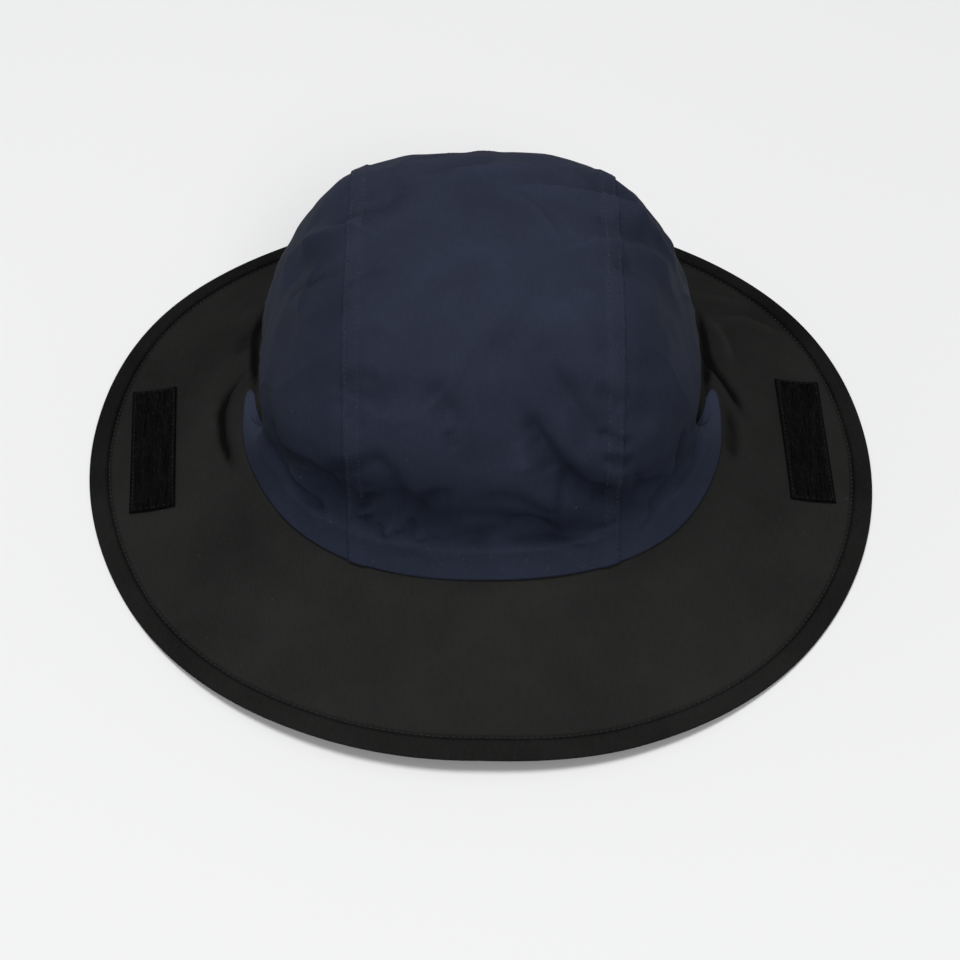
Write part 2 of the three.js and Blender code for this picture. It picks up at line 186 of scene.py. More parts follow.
edgeShape = {
    "turn": (0, 20, 45, 70, 95, 122, 150, 180),
    "left": (0.969, 0.974, 0.980, 0.984, 1.002, 1.020, 0.985, 0.970),
    "right": (0.969, 0.989, 1.000, 0.998, 0.999, 1.007, 0.985, 0.970),
}
edgeLift = {
    "turn": (0, 25, 45, 60, 180),
    "left": (1.0, 0.85, 0.35, 0.0, 0.0),
    "right": (1.0, 0.6, 0.1, 0.0, 0.0),
}
brimRise = {
    "turn": (0, 30, 55, 80, 110, 145, 180),
    "seam": (1.0, 0.98, 0.93, 0.88, 0.95, 1.08, 1.13),
    "hollow": (1.0, 1.1, 1.6, 2.6, 2.4, 1.5, 1.2),
}
seamShape = {
    "turn": (0, 15, 30, 48, 66, 84, 95, 120, 180),
    "left": (1.006, 1.003, 0.994, 0.972, 0.957, 0.977, 0.985, 1.0, 1.0),
    "right": (1.006, 1.008, 1.014, 1.01, 0.992, 0.997, 1.0, 1.0, 1.0),
}
wallLevels = {
    "index": tuple(range(12)),
    "rise": (0.0, 0.08, 0.19, 0.3, 0.43, 0.56, 0.69, 0.8, 0.885, 0.945, 0.98, 1.0),
    "reach": (0.962, 0.955, 0.985, 1.0, 0.968, 0.905, 0.82, 0.74, 0.63, 0.495, 0.335, 0.0),
    "corner": (2.2, 2.3, 2.5, 2.7, 2.9, 3.1, 3.2, 3.2, 3.1, 2.8, 2.4, 2.0),
}
lastLevel = len(wallLevels["index"]) - 1


def tableValue(table, key, at, name):
    # a smooth value between the rows of one column
    places = np.array(table[key], float)
    rows = np.array(table[name], float)
    values = np.concatenate([rows[:1], rows, rows[-1:]])
    at = np.asarray(at, float)
    row = np.searchsorted(places[1:-1], at, side="left")
    t = np.clip((at - places[row]) / (places[row + 1] - places[row]), 0, 1)
    before, start, end, after = (values[row + k] for k in range(4))
    bend = 2 * before - 5 * start + 4 * end - after
    twist = 3 * start - before - 3 * end + after
    return start + 0.5 * t * (end - before + t * (bend + t * twist))


def sideValue(table, turn):
    size = np.abs(turn)
    left = tableValue(table, "turn", size, "left")
    right = tableValue(table, "turn", size, "right")
    return np.where(turn < 0, left, right)


def outlineReach(turn, a, b, power):
    across = np.abs(np.sin(np.radians(turn)) / a) ** power
    along = np.abs(np.cos(np.radians(turn)) / b) ** power
    return (across + along) ** (-1 / power)


def polar(turn, reach, height):
    angle = np.radians(turn)
    x, y, z = np.broadcast_arrays(reach * np.sin(angle), -reach * np.cos(angle), height)
    return np.stack([x, y, z], -1)


def turnOf(points):
    return np.degrees(np.arctan2(points[..., 0], -points[..., 1]))


def mix(a, b, share):
    return a + (b - a) * share


def ease(value, low, high):
    t = np.clip((value - low) / (high - low), 0, 1)
    return t * t * (3 - 2 * t)


def lengthAlong(path):
    steps = np.linalg.norm(np.diff(path, axis=0), axis=-1)
    return np.concatenate([[0], np.cumsum(steps)])


def alongLine(points, line):
    # the least distance from each point to a line through several places, and its share passed there
    least = np.full(points.shape[:-1], 1e9)
    passed = np.zeros(points.shape[:-1])
    lengths = [np.linalg.norm(end - start) for start, end in zip(line[:-1], line[1:])]
    before = 0.0
    for start, end, length in zip(line[:-1], line[1:], lengths):
        along = end - start
        share = np.clip(((points - start) @ along) / max(along @ along, 1e-9), 0, 1)
        away = np.linalg.norm(points - start - share[..., None] * along, axis=-1)
        nearer = away < least
        least = np.where(nearer, away, least)
        passed = np.where(nearer, (before + share * length) / sum(lengths), passed)
        before += length
    return least, passed


def edgeReach(turn):
    return form["brimWidth"] / 2 * sideValue(edgeShape, turn)


def seamOutline(turn):
    outline = outlineReach(turn, form["seamWidth"] / 2, form["seamReach"], form["cornerPower"])
    return outline * sideValue(seamShape, turn)


def brimCone(turn, reach):
    lift = form["frontLift"] * np.maximum(sideValue(edgeLift, turn), 0)
    hemReach = edgeReach(turn) - form["hemWidth"]
    hemTop = form["brimThickness"] + lift * (1 + form["hemWidth"] / form["seamHeight"])
    outer = mix(hemTop, form["brimThickness"] + lift, (reach - hemReach) / form["hemWidth"])
    size = np.abs(turn)
    seamTop = form["seamHeight"] * tableValue(brimRise, "turn", size, "seam")
    share = np.maximum((hemReach - reach) / (hemReach - seamOutline(turn)), 0)
    power = np.where(share < 1, tableValue(brimRise, "turn", size, "hollow"), 1)
    return np.where(reach > hemReach, outer, hemTop + (seamTop - hemTop) * share ** power)


def wallReach(turn, reach, corner):
    return reach * outlineReach(turn, form["crownWidth"] / 2, form["crownLength"] / 2, corner)


def footReach(turn):
    return wallReach(turn, wallLevels["reach"][0], wallLevels["corner"][0])


def wallPoint(turn, level):
    at = np.asarray(level) * lastLevel
    rise = tableValue(wallLevels, "index", at, "rise")
    reach = np.maximum(tableValue(wallLevels, "index", at, "reach"), 0)
    corner = tableValue(wallLevels, "index", at, "corner")
    footHeight = form["seamHeight"] + form["flareRise"] + form["rearFootRise"] * ease(
        np.abs(turn), form["tuckTurn"], turnOfBack)
    return polar(turn, wallReach(turn, reach, corner), mix(footHeight, form["crownHeight"], rise))


# Folds, as lines through places on the cloth
# Crown places are (turn, level), with level -1 at the edge of the flare, 0 at the foot and 1 at the top.
# Brim places are (turn, reach). width and depth are in millimetres, and a positive depth is a ridge.
# power 2 is a soft fold, and nearer 1 a sharp one. tone paints shade into a fold when below 0 and light
# onto it when above 0.

def foldRows(columns, rows):
    return [dict(zip(columns, row)) for row in rows]


crownFolds = foldRows(("width", "depth", "line"), [
    # the main dents, as in the solids
    (5.7, -3.2, [(-58, 0.16), (-40, 0.08)]),
    (12.1, -7.1, [(-36, 0.26), (-23, 0.23)]),
    (6.4, -2.9, [(-38, 0.15), (-26, 0.15)]),
    (10.7, -4.6, [(-14, 0.17), (12, 0.11)]),
    (7.8, -3.6, [(10, 0.12), (22, 0.02)]),
    (9.3, -5.0, [(24, 0.31), (42, 0.14)]),
    (7.1, -4.3, [(70, 0.2), (51, 0.05)]),
    (14.3, 2.6, [(-18, 0.44), (-4, 0.4)]),
    (7.1, -3.2, [(16, 0.48), (19, 0.34)]),
    (7.1, -3.1, [(22, 0.67), (29, 0.46)]),
    (6.4, -2.6, [(-13, 0.56), (-11, 0.54)]),
    (7.1, -2.9, [(-38, 0.53), (-31, 0.54)]),
    (7.8, -2.9, [(34, 0.48), (44, 0.46)]),
    (6.4, 3.1, [(125, 0.86), (108, 0.69)]),
    (6.4, 2.6, [(108, 0.69), (110, 0.5)]),
    (6.4, 2.9, [(76, 0.82), (91, 0.58)]),
    (10.0, -4.6, [(127, 0.84), (121, 0.71)]),
    (6.4, 2.9, [(-99, 0.6), (-95, 0.8)]),
    (10.0, -5.0, [(-112, 0.76), (-118, 0.84)]),
    (8.6, -3.6, [(-95, 0.54), (-86, 0.68)]),
    (7.1, -4.0, [(-128, 0.02), (-122, 0.22)]),
    (7.1, -4.3, [(-158, 0.02), (-154, 0.22)]),
    (7.8, -4.3, [(180, 0.02), (177, 0.26)]),
    (7.1, -4.3, [(156, 0.02), (151, 0.22)]),
    (7.1, -4.0, [(127, 0.02), (122, 0.22)]),
])

fineFolds = foldRows(("width", "depth", "power", "line"), [
    # the double fold at the left front, a bright ridge between two dark creases
    (2.4, -2.6, 1.6, [(-55, 0.23), (-50, 0.28), (-45, 0.3), (-41, 0.26), (-37, 0.18), (-34, 0.1)]),
    (1.8, -2.2, 1.5, [(-52, 0.14), (-48, 0.11), (-44, 0.1), (-40, 0.06), (-37, -0.05), (-36, -0.45)]),
    (2.2, 1.8, 1.7, [(-52, 0.2), (-46, 0.18), (-40, 0.12), (-36, 0.04)]),
    # the left dent: its dark arched rim, and the creases inside it
    (3.4, -2.2, 1.7, [(-41, 0.27), (-36, 0.34), (-31, 0.37), (-26, 0.4), (-22, 0.36), (-20, 0.28),
     (-21, 0.15), (-25, 0.08)]),
    (1.5, -1.4, 1.4, [(-40, 0.27), (-34, 0.33), (-29, 0.36)]),
    (2.0, -3.0, 1.5, [(-31, 0.13), (-28, 0.19), (-25, 0.21)]),
    (1.6, 1.5, 1.7, [(-31, 0.11), (-28, 0.13), (-26, 0.16)]),
    (1.5, -1.4, 1.5, [(-31, 0.09), (-28, 0.085), (-26, 0.12)]),
    (2.4, -1.8, 1.6, [(-37, 0.24), (-33, 0.2), (-30, 0.11), (-24, 0.03)]),
    (2.4, -2.0, 1.6, [(-25, 0.1), (-22, -0.02)]),
    (2.4, 1.8, 1.7, [(-21, 0.16), (-22, 0.03)]),
    (2.2, -2.2, 1.6, [(-20, 0.05), (-17, 0.08), (-16, 0.14)]),
    (2.4, -1.2, 1.8, [(-18, -0.4), (-14, -0.3)]),
    # the broad hollow in the middle and the point it ends in at the right
    (2.4, 2.4, 1.6, [(-16, 0.17), (-14, 0.04)]),
    (3.6, -2.4, 1.7, [(-14, 0.04), (-16, 0.15), (-15, 0.26), (-11, 0.31), (-5, 0.33)]),
    (3.0, -1.8, 1.7, [(-14, 0.06), (-9, 0.04), (-4, 0.07), (4, 0.08)]),
    (4.0, 1.5, 1.8, [(-6, 0.14), (2, 0.15), (8, 0.12)]),
    (3.0, -1.8, 1.6, [(-2, 0.3), (5, 0.3), (10, 0.29), (16, 0.21), (19, 0.17)]),
    (2.8, -2.8, 1.6, [(8, 0.16), (15, 0.11), (20, -0.02), (24, -0.5)]),
    # the crisp folds across the right dent
    (2.6, -2.8, 1.5, [(21, 0.4), (27, 0.29), (32, 0.24), (39, 0.1)]),
    (2.2, -1.6, 1.6, [(24, 0.4), (21, 0.3), (18, 0.15)]),
    (2.2, -1.6, 1.6, [(37, 0.1), (41, 0.18), (39, 0.32)]),
    (3.5, -2.0, 1.8, [(28, 0.24), (34, 0.22)]),
    (1.5, -1.3, 1.5, [(25, 0.06), (33, 0.1)]),
    # puckers that run across the two long seams
    (3.8, -1.3, 1.7, [(-41, 0.56), (-35, 0.6), (-30, 0.59)]),
    (3.0, -1.1, 1.7, [(-37, 0.5), (-31, 0.47)]),
    (3.2, -0.9, 1.7, [(-42, 0.72), (-36, 0.7)]),
    (2.2, -2.4, 1.6, [(31, 0.46), (40, 0.4)]),
    (1.8, 1.0, 1.7, [(32, 0.42), (39, 0.38)]),
    (2.2, -2.0, 1.6, [(31, 0.39), (39, 0.35)]),
    (2.0, 1.0, 1.7, [(32, 0.34), (37, 0.32)]),
    (3.8, -1.6, 1.7, [(33, 0.57), (39, 0.52), (46, 0.51)]),
    (3.4, -0.8, 1.7, [(39, 0.67), (44, 0.65)]),
    # the arch, the pointed fold and the slanting fold of the middle panel
    (4.4, -1.5, 1.8, [(-14, 0.5), (-8, 0.53), (-3, 0.47), (-2, 0.37)]),
    (3.0, -1.6, 1.8, [(-9, 0.49), (-7, 0.44)]),
    (2.8, -1.8, 1.6, [(12, 0.53), (16, 0.48), (18, 0.45), (21, 0.4), (22, 0.33)]),
    (4.5, -1.6, 2, [(14, 0.47), (17, 0.41), (19, 0.35)]),
    (3.6, 1.4, 1.8, [(11, 0.46), (12, 0.37)]),
    (3.8, -1.0, 1.8, [(19, 0.68), (25, 0.61), (28, 0.53), (30, 0.45)]),
    (5.0, -1.0, 1.8, [(15, 0.74), (8, 0.7), (2, 0.71)]),
    # the soft standing folds at the right side, above the flare
    (2.8, -2.6, 1.6, [(58, 0.35), (53, 0.22), (47, 0.12), (40, 0.02)]),
    (2.4, -2.0, 1.6, [(68, 0.27), (62, 0.1), (56, 0.02)]),
    (2.4, 1.8, 1.7, [(64, 0.3), (56, 0.13), (48, 0.03)]),
    (2.2, 1.6, 1.7, [(53, 0.27), (46, 0.14), (38, 0.02)]),
    (1.8, -1.8, 1.6, [(34, -0.4), (40, -0.03), (43, 0.12)]),
    (5.0, -1.6, 1.8, [(-62, 0.33), (-55, 0.24), (-48, 0.24)]),
    # packing creases over the top, thin and bright, with darker facets between them
    (2.0, 1.8, 1.3, [(150, 0.93), (127, 0.87), (112, 0.73), (107, 0.6)]),
    (2.2, 1.5, 1.4, [(108, 0.72), (105, 0.58), (103, 0.46)]),
    (2.0, 1.7, 1.3, [(60, 0.9), (78, 0.82), (90, 0.66), (92, 0.54)]),
    (4.4, -1.7, 1.8, [(100, 0.82), (99, 0.72), (98, 0.62)]),
    (5.0, -1.6, 1.8, [(70, 0.76), (80, 0.7)]),
    (2.0, 1.8, 1.3, [(-102, 0.57), (-97, 0.68), (-93, 0.79), (-80, 0.87)]),
    (4.2, -1.8, 1.7, [(-86, 0.5), (-78, 0.64), (-70, 0.78)]),
    (4.0, -1.5, 1.8, [(-104, 0.72), (-100, 0.8)]),
    (6.0, -1.4, 1.8, [(-60, 0.86), (-62, 0.74), (-52, 0.66)]),
    (2.4, 1.6, 1.4, [(-150, 0.91), (-176, 0.88), (160, 0.86), (140, 0.83)]),
    (4.5, -1.4, 1.8, [(-140, 0.86), (170, 0.8)]),
    (2.6, 1.3, 1.5, [(-128, 0.86), (-116, 0.8), (-110, 0.7)]),
    (2.2, 1.2, 1.4, [(160, 0.93), (110, 0.93), (70, 0.9)]),
    # the gathered back: folds that run up from the drawn-in edge
    (3.2, -2.6, 1.6, [(-168, 0.0), (-165, 0.16)]),
    (3.0, -2.2, 1.6, [(-144, 0.0), (-143, 0.14)]),
    (3.2, -2.6, 1.6, [(167, 0.0), (165, 0.18)]),
    (3.0, -2.2, 1.6, [(142, 0.0), (139, 0.14)]),
    (3.4, -1.8, 1.6, [(-112, 0.02), (-108, 0.18)]),
    (3.4, -1.8, 1.6, [(111, 0.02), (107, 0.2)]),
])

brimFolds = foldRows(("width", "depth", "power", "tone", "line"), [
    # the folds round the outside of the left ear and behind it, with painted shade in them
    (1.6, -4.6, 1.5, -0.75, [(-107, 113), (-102, 117.5), (-97, 118), (-89, 115), (-83, 112.5),
     (-77, 111)]),
    (1.5, -4.2, 1.6, -1.0, [(-131, 137), (-122, 124), (-110, 109.5), (-99, 102)]),
    (4.5, -2.5, 1.8, -0.12, [(-124, 133), (-115, 123)]),
    (3.5, 1.5, 1.8, 0.08, [(-131, 144), (-125, 140)]),
    (6.0, 1.6, 1.8, 0.03, [(-112, 131), (-100, 127), (-86, 124)]),
    # the same at the right, with painted light on three thin ridges
    (2.4, -4.8, 1.5, -0.7, [(117, 115), (109, 113), (106, 115.5), (103, 118), (97, 120.5)]),
    (1.5, -4.2, 1.6, -1.0, [(130, 137), (118, 118.5), (106, 107), (97, 102)]),
    (3.2, -3.5, 1.8, -0.3, [(97, 114), (88, 113.5), (80, 112.5)]),
    (2.4, 2.4, 1.6, 0.16, [(130, 139), (125, 137), (119, 132.5), (111, 126)]),
    (2.4, 2.1, 1.6, 0.14, [(128, 142), (125, 155.5), (122, 160), (118, 166)]),
    (2.6, 1.6, 1.6, 0.11, [(135, 148), (131, 158), (127, 165)]),
    # the gathered back
    (5.0, -2.4, 1.8, 0, [(-158, 98), (-154, 124)]),
    (5.5, -2.6, 1.8, 0, [(178, 98), (176, 128)]),
    (5.0, -2.4, 1.8, 0, [(154, 98), (151, 124)]),
    (3.4, -1.3, 1.6, 0, [(-168, 98), (-165, 118)]),
    (3.4, -1.3, 1.6, 0, [(166, 98), (164, 118)]),
])


def foldShift(points, folds, place, taper=0.0, value="depth"):
    # taper is the share of each fold's length over which it dies away at either end
    shift = np.zeros(points.shape[:-1])
    for fold in folds:
        line = [place(*spot) for spot in fold["line"]]
        away, passed = alongLine(points, line)
        ends = 1.0
        if taper:
            ends = 0.15 + 0.85 * ease(passed, 0, taper) * ease(1 - passed, 0, taper)
        shift += fold[value] * ends * np.exp(-(away / fold["width"]) ** fold.get("power", 2))
    return shift


# each use of the noise reads it at another place
seeds = {"crumple": 31.0, "crease": 7.0, "brimTone": 3.0, "streaks": 5.0}


def noiseAt(points, scale, seed=0.0):
    # smooth noise of about -1 to 1, with features of about scale millimetres
    flat = points.reshape(-1, 3) / scale + seed
    values = np.array([noise.noise(Vector(p)) for p in flat])
    return values.reshape(points.shape[:-1])


def brimSpot(turn, reach):
    return polar(turn, reach, 0.0)


def brimTop(points):
    flat = points * (1, 1, 0)
    height = brimCone(turnOf(flat), np.linalg.norm(flat, axis=-1))
    return height + foldShift(flat, brimFolds, brimSpot, form["brimTaper"])


# The crown: one surface, cut along the two long seams into three panels

crown = {
    "frontColumns": 104,  # columns in half a round, before the tuck behind the ear
    "tuckColumns": 44,
    "rearColumns": 108,
    "flareRows": 16,
    "wallRows": 142,  # of even height on the path up the wall at pathTurn
    "pathTurn": 40.0,
    "pathSteps": 400,
    "clothThickness": 1.0,
    "edgeLift": 0.9,  # the edge stands over the brim by this, in thicknesses of the cloth
    "notch": (99.0, -15.0),  # the cloth of the ears bends round this place, in plan
    "notchLift": 2.0,  # in thicknesses of the cloth
    "notchTurns": 13.0,  # the bend begins this far in front of the tuck
    # in front of the ears the wall runs nearly straight down to the edge from this level, by turn
    "skirtLevel": 0.27,
    "skirt": {"turn": (0, 25, 50, 64, 74, 79, 180), "share": (0.65, 0.7, 0.8, 0.85, 0.3, 0.0, 0.0)},
    # rows either side of the foot that its smoothing reaches, by turn
    "footBlend": {"turn": (0, 30, 60, 76, 90, 180), "rows": (9, 12, 20, 6, 8, 8)},
    "footPasses": 120,
    "lapWidth": 7.0,  # the middle panel's turned and topstitched edges
    "lapReach": 1.6,  # they stand this far out over the side panels
    "lapRise": 0.85,
    "lapStep": (-0.6, 0.9),  # they fall to the cloth between these distances past their width
    "underlap": 3.0,  # the side panels run on this far under them
    "crumple": 1.05,  # soft unevenness of the cloth
    "crumpleSize": (27.0, 12.0),
    "smallCrumple": 0.7,  # share of the smaller size in it
    "crease": 0.55,  # faint sharp creases from packing
    "creaseSize": 34.0,
    "creaseWidth": 0.14,
    "foldTaper": 0.22,
    "fineFade": 0.03,
    # lighter and darker cloth, for each millimetre of fold: painted light on the ridges and painted
    # shade in the hollows
    "foldShading": 0.002,
    "fineFoldShading": 0.075,
    "toneLimits": (-0.35, 0.25),
    "lapTone": 0.06,
    "flarePaintedLight": 0.26,  # painted light: the flare is painted lighter, up to the level flareFade
    "flareFade": 0.17,
    "sideShade": 0.18,  # painted shade: the sides are darker than the middle, between these places across the hat
    "sides": (44.0, 76.0),
    "sideFade": 0.3,
    "upFacingLight": 0.3,  # painted light: the cloth that faces up is painted lighter
}


def flareShare(turn):
    past = (np.abs(turn) - form["tuckTurn"]) / form["tuckSpan"]
    return 1 - np.sqrt(np.clip(past, 0, 1))


earBow = {
    # how far the inner edge of an ear lies behind a straight line, by the share of the way out
    "share": (0.0, 0.2, 0.4, 0.5, 0.58, 0.7, 0.85, 1.0),
    "left": (0.0, -5.0, -9.0, -7.5, -2.0, 5.0, 6.0, 0.0),
    "right": (0.0, -3.0, -4.5, -3.0, 0.5, 5.5, 6.0, 0.0),
}


def sharpSeamPlace(turn):
    # the crown's lower edge in plan, for a column of the wall
    wall = polar(turn, footReach(turn) + form["rearFlare"], 0.0)
    spread = np.minimum(np.abs(turn) / form["tuckTurn"], 1) * form["earTurn"] * np.sign(turn)
    share = flareShare(turn)[..., None]
    left = tableValue(earBow, "share", share, "left")
    right = tableValue(earBow, "share", share, "right")
    bow = np.where(turn[..., None] < 0, left, right)
    return mix(wall, polar(spread, seamOutline(spread), 0.0), share) + bow * (0, 1, 0)


def crownColumns():
    tuck, span = form["tuckTurn"], form["tuckSpan"]
    front = np.linspace(0, tuck, crown["frontColumns"], endpoint=False)
    steps = np.linspace(0, 1, crown["tuckColumns"], endpoint=False)
    rear = np.linspace(tuck + span, turnOfBack, crown["rearColumns"] + 1)
    half = np.concatenate([front, tuck + span * steps ** 2, rear])
    return np.concatenate([-half[:0:-1], half])


def roundedSeam():
    turns = crownColumns()
    places = sharpSeamPlace(turns)
    past = np.abs(np.abs(turns) - form["earMiddle"])
    near = (1 - ease(past, *form["earRounded"]))[1:-1, None]
    for _ in range(form["earPasses"]):
        places[1:-1] = mix(places[1:-1], (places[:-2] + 2 * places[1:-1] + places[2:]) / 4, near)
    return turns, places


seamTurns, seamPlaces = roundedSeam()


def seamPlace(turn):
    return np.stack([np.interp(turn, seamTurns, seamPlaces[:, k]) for k in range(3)], -1)


def evenLevels(count):
    fine = np.linspace(0, 1, crown["pathSteps"])
    path = wallPoint(np.full(crown["pathSteps"], crown["pathTurn"]), fine)
    length = lengthAlong(path)
    return np.interp(np.linspace(0, length[-1], count), length, fine)


def gridNormals(points):
    # the first and last columns are the same line up the back
    around = np.concatenate([points[:, -2:-1], points, points[:, 1:2]], axis=1)
    across = np.gradient(around, axis=1)[:, 1:-1]
    up = np.gradient(points, axis=0)
    normals = np.cross(across, up)
    size = np.linalg.norm(normals, axis=-1, keepdims=True)
    return normals / np.maximum(size, 1e-9)


def flareGrid(turns, shares):
    # rows from the crown's edge up to the foot of its wall. the ears bend round the notch behind them
    edge = seamPlace(turns)
    edge[:, 2] = brimTop(edge) + crown["clothThickness"] * crown["edgeLift"]
    foot = wallPoint(turns, np.zeros_like(turns))
    x, y = crown["notch"]
    notch = np.stack([x * np.sign(turns), np.full(len(turns), y), np.zeros(len(turns))], -1)
    notch[:, 2] = brimTop(notch) + crown["notchLift"] * crown["clothThickness"]
    bendFrom = form["tuckTurn"] - crown["notchTurns"]
    pull = ease(np.abs(turns), bendFrom, form["tuckTurn"]) * flareShare(turns)
    bend = (2 * shares * (1 - shares))[:, None, None] * pull[None, :, None]
    flare = mix(edge[None], foot[None], shares[:, None, None])
    return flare + bend * (notch - (edge + foot) / 2)[None]


def letFall(points, turns, levels):
    last = crown["flareRows"] + int(np.searchsorted(levels, crown["skirtLevel"]))
    down = np.linspace(0, 1, last + 1)[:, None, None]
    share = np.clip(tableValue(crown["skirt"], "turn", np.abs(turns), "share"), 0, 1)[None, :, None]
    skirt = mix(points[:1], points[last:last + 1], down)
    points[:last + 1] = mix(points[:last + 1], skirt, share)


def softenFoot(points, turns):
    # the flare runs into the wall in a soft curve
    rows = np.arange(len(points))[:, None]
    blend = tableValue(crown["footBlend"], "turn", np.abs(turns), "rows")[None, :]
    near = np.clip(1 - np.abs(rows - crown["flareRows"]) / blend, 0, 1)[1:-1, :, None]
    for _ in range(crown["footPasses"]):
        middle = (points[:-2] + 2 * points[1:-1] + points[2:]) / 4
        points[1:-1] = mix(points[1:-1], middle, near)


def crownSurface():
    turns = crownColumns()
    levels = evenLevels(crown["wallRows"] + 1)
    shares = np.linspace(0, 1, crown["flareRows"], endpoint=False)
    smooth = np.concatenate([flareGrid(turns, shares), wallPoint(turns[None, :], levels[:, None])])
    letFall(smooth, turns, levels)
    softenFoot(smooth, turns)
    normals = gridNormals(smooth)
    normals[-1] = (0, 0, 1)
    allLevels = np.concatenate([shares - 1, levels])

    def place(turn, level):
        # the place on the smoothed cloth
        column = np.interp(turn, turns, np.arange(len(turns)))
        row = np.interp(level, allLevels, np.arange(len(allLevels)))
        left, low = int(column), min(int(row), len(smooth) - 2)
        right = min(left + 1, len(turns) - 1)
        lower = mix(smooth[low, left], smooth[low, right], column - left)
        upper = mix(smooth[low + 1, left], smooth[low + 1, right], column - left)
        return mix(lower, upper, row - low)

    # folds, unevenness and faint creases push the cloth in or out
    level = np.concatenate([np.zeros(len(shares)), levels])[:, None]
    fade = ease(level, 0, form["foldFadeAtFoot"])
    fineFade = np.concatenate([0.5 * shares, 0.5 + 0.5 * ease(levels, 0, crown["fineFade"])])[:, None]
    shift = foldShift(smooth, crownFolds, place) * fade
    fineShift = foldShift(smooth, fineFolds, place, crown["foldTaper"]) * fineFade
    shift += fineShift
    large, small = crown["crumpleSize"]
    crumple = noiseAt(smooth, large) + crown["smallCrumple"] * noiseAt(smooth, small, seeds["crumple"])
    ridge = np.abs(noiseAt(smooth, crown["creaseSize"], seeds["crease"]))
    crease = 1 - np.minimum(ridge / crown["creaseWidth"], 1)
    shift += (crown["crumple"] * crumple + crown["crease"] * crease ** 2) * fade
    topRow = crown["flareRows"] + int(np.searchsorted(levels, 1 - form["foldFadeAtTop"]))
    shift = mix(shift[topRow].mean(), shift, ease(1 - level, 0, form["foldFadeAtTop"]))

    # painted light and shade: ridges, the flare and the cloth that faces up are lighter, hollows and the
    # sides darker
    tone = np.clip(crown["foldShading"] * shift + crown["fineFoldShading"] * fineShift, *crown["toneLimits"])
    tone = tone + crown["flarePaintedLight"] * (1 - ease(level, 0, crown["flareFade"]))
    tone = tone + crown["upFacingLight"] * (np.abs(normals[..., 2]) - 0.5)
    sides = ease(np.abs(smooth[..., 0]), *crown["sides"]) * ease(level, 0, crown["sideFade"])
    tone = tone - crown["sideShade"] * sides
    return smooth + normals * shift[..., None], normals, tone


mergeDistance = 2e-7  # metres. columns that meet at the top and up the back become one


def surfaceMesh(name, points, tone):
    # a grid of the array's size, with each corner moved to its place. tone lightens or darkens the cloth
    rows, columns = points.shape[:2]
    bm = bmesh.new()
    bmesh.ops.create_grid(bm, x_segments=columns - 1, y_segments=rows - 1, size=0.5)
    mesh = bpy.data.meshes.new(name)
    bm.to_mesh(mesh)
    bm.free()
    flat = np.zeros(len(mesh.vertices) * 3)
    mesh.vertices.foreach_get("co", flat)
    flat = flat.reshape(-1, 3)
    column = np.rint((flat[:, 0] + 0.5) * (columns - 1)).astype(int)
    row = np.rint((flat[:, 1] + 0.5) * (rows - 1)).astype(int)
    mesh.vertices.foreach_set("co", (points[row, column] * mm).ravel())
    layer = mesh.attributes.new("tone", "FLOAT", "POINT")
    layer.data.foreach_set("value", tone[row, column].astype(np.float32))
    bm = bmesh.new()
    bm.from_mesh(mesh)
    bpy.data.meshes.remove(mesh)
    bmesh.ops.remove_doubles(bm, verts=bm.verts, dist=mergeDistance)
    return bm


def keepBetween(bm, low, high):
    for x, side in ((low, -1), (high, 1)):
        everything = bm.verts[:] + bm.edges[:] + bm.faces[:]
        bmesh.ops.bisect_plane(
            bm, geom=everything, dist=mergeDistance / 2, plane_co=(x * mm, 0, 0),
            plane_no=(side, 0, 0), clear_outer=True)


insideCrown = Vector((0, 0, 0.05))


def faceOutwards(bm):
    bm.normal_update()
    votes = sum((f.calc_center_median() - insideCrown).dot(f.normal) * f.calc_area() for f in bm.faces)
    if votes < 0:
        bmesh.ops.reverse_faces(bm, faces=bm.faces)


def giveWall(piece, thickness):
    wall = piece.modifiers.new("cloth thickness", "SOLIDIFY")
    wall.thickness = thickness * mm
    wall.offset = -1
    wall.use_even_offset = False
    wall.use_quality_normals = True


def clothUv(piece, wrap):
    mesh = piece.data
    count = len(mesh.vertices)
    flat = np.zeros(count * 3)
    mesh.vertices.foreach_get("co", flat)
    uv = wrap(flat.reshape(-1, 3) / mm)
    corner = np.zeros(len(mesh.loops), int)
    mesh.loops.foreach_get("vertex_index", corner)
    layer = mesh.uv_layers.new(name="weave")
    layer.data.foreach_set("uv", (uv[corner] * mm).ravel())


threads = {
    # the circles on which the panels' threads are laid out, in millimetres
    "radius": 90.0,
    "middleHeight": 55.0,
    "sideHeight": 40.0,
}


def pastFoot(points):
    # how far out on the flare a place lies. the threads run on down it
    return np.maximum(np.hypot(points[:, 0], points[:, 1]) - footReach(turnOf(points)), 0)


def wrapMiddle(points):
    angle = np.degrees(np.arctan2(points[:, 2] - threads["middleHeight"], -points[:, 1]))
    angle = np.where(angle < -90, angle + 360, angle)
    return np.stack([points[:, 0], threads["radius"] * np.radians(angle) - pastFoot(points)], -1)


def wrapSide(points):
    angle = np.arctan2(points[:, 2] - threads["sideHeight"], np.hypot(points[:, 0], points[:, 1]))
    around = threads["radius"] * np.radians(turnOf(points))
    return np.stack([around, threads["radius"] * angle - pastFoot(points)], -1)


def wrapFlat(points):
    return points[:, :2]


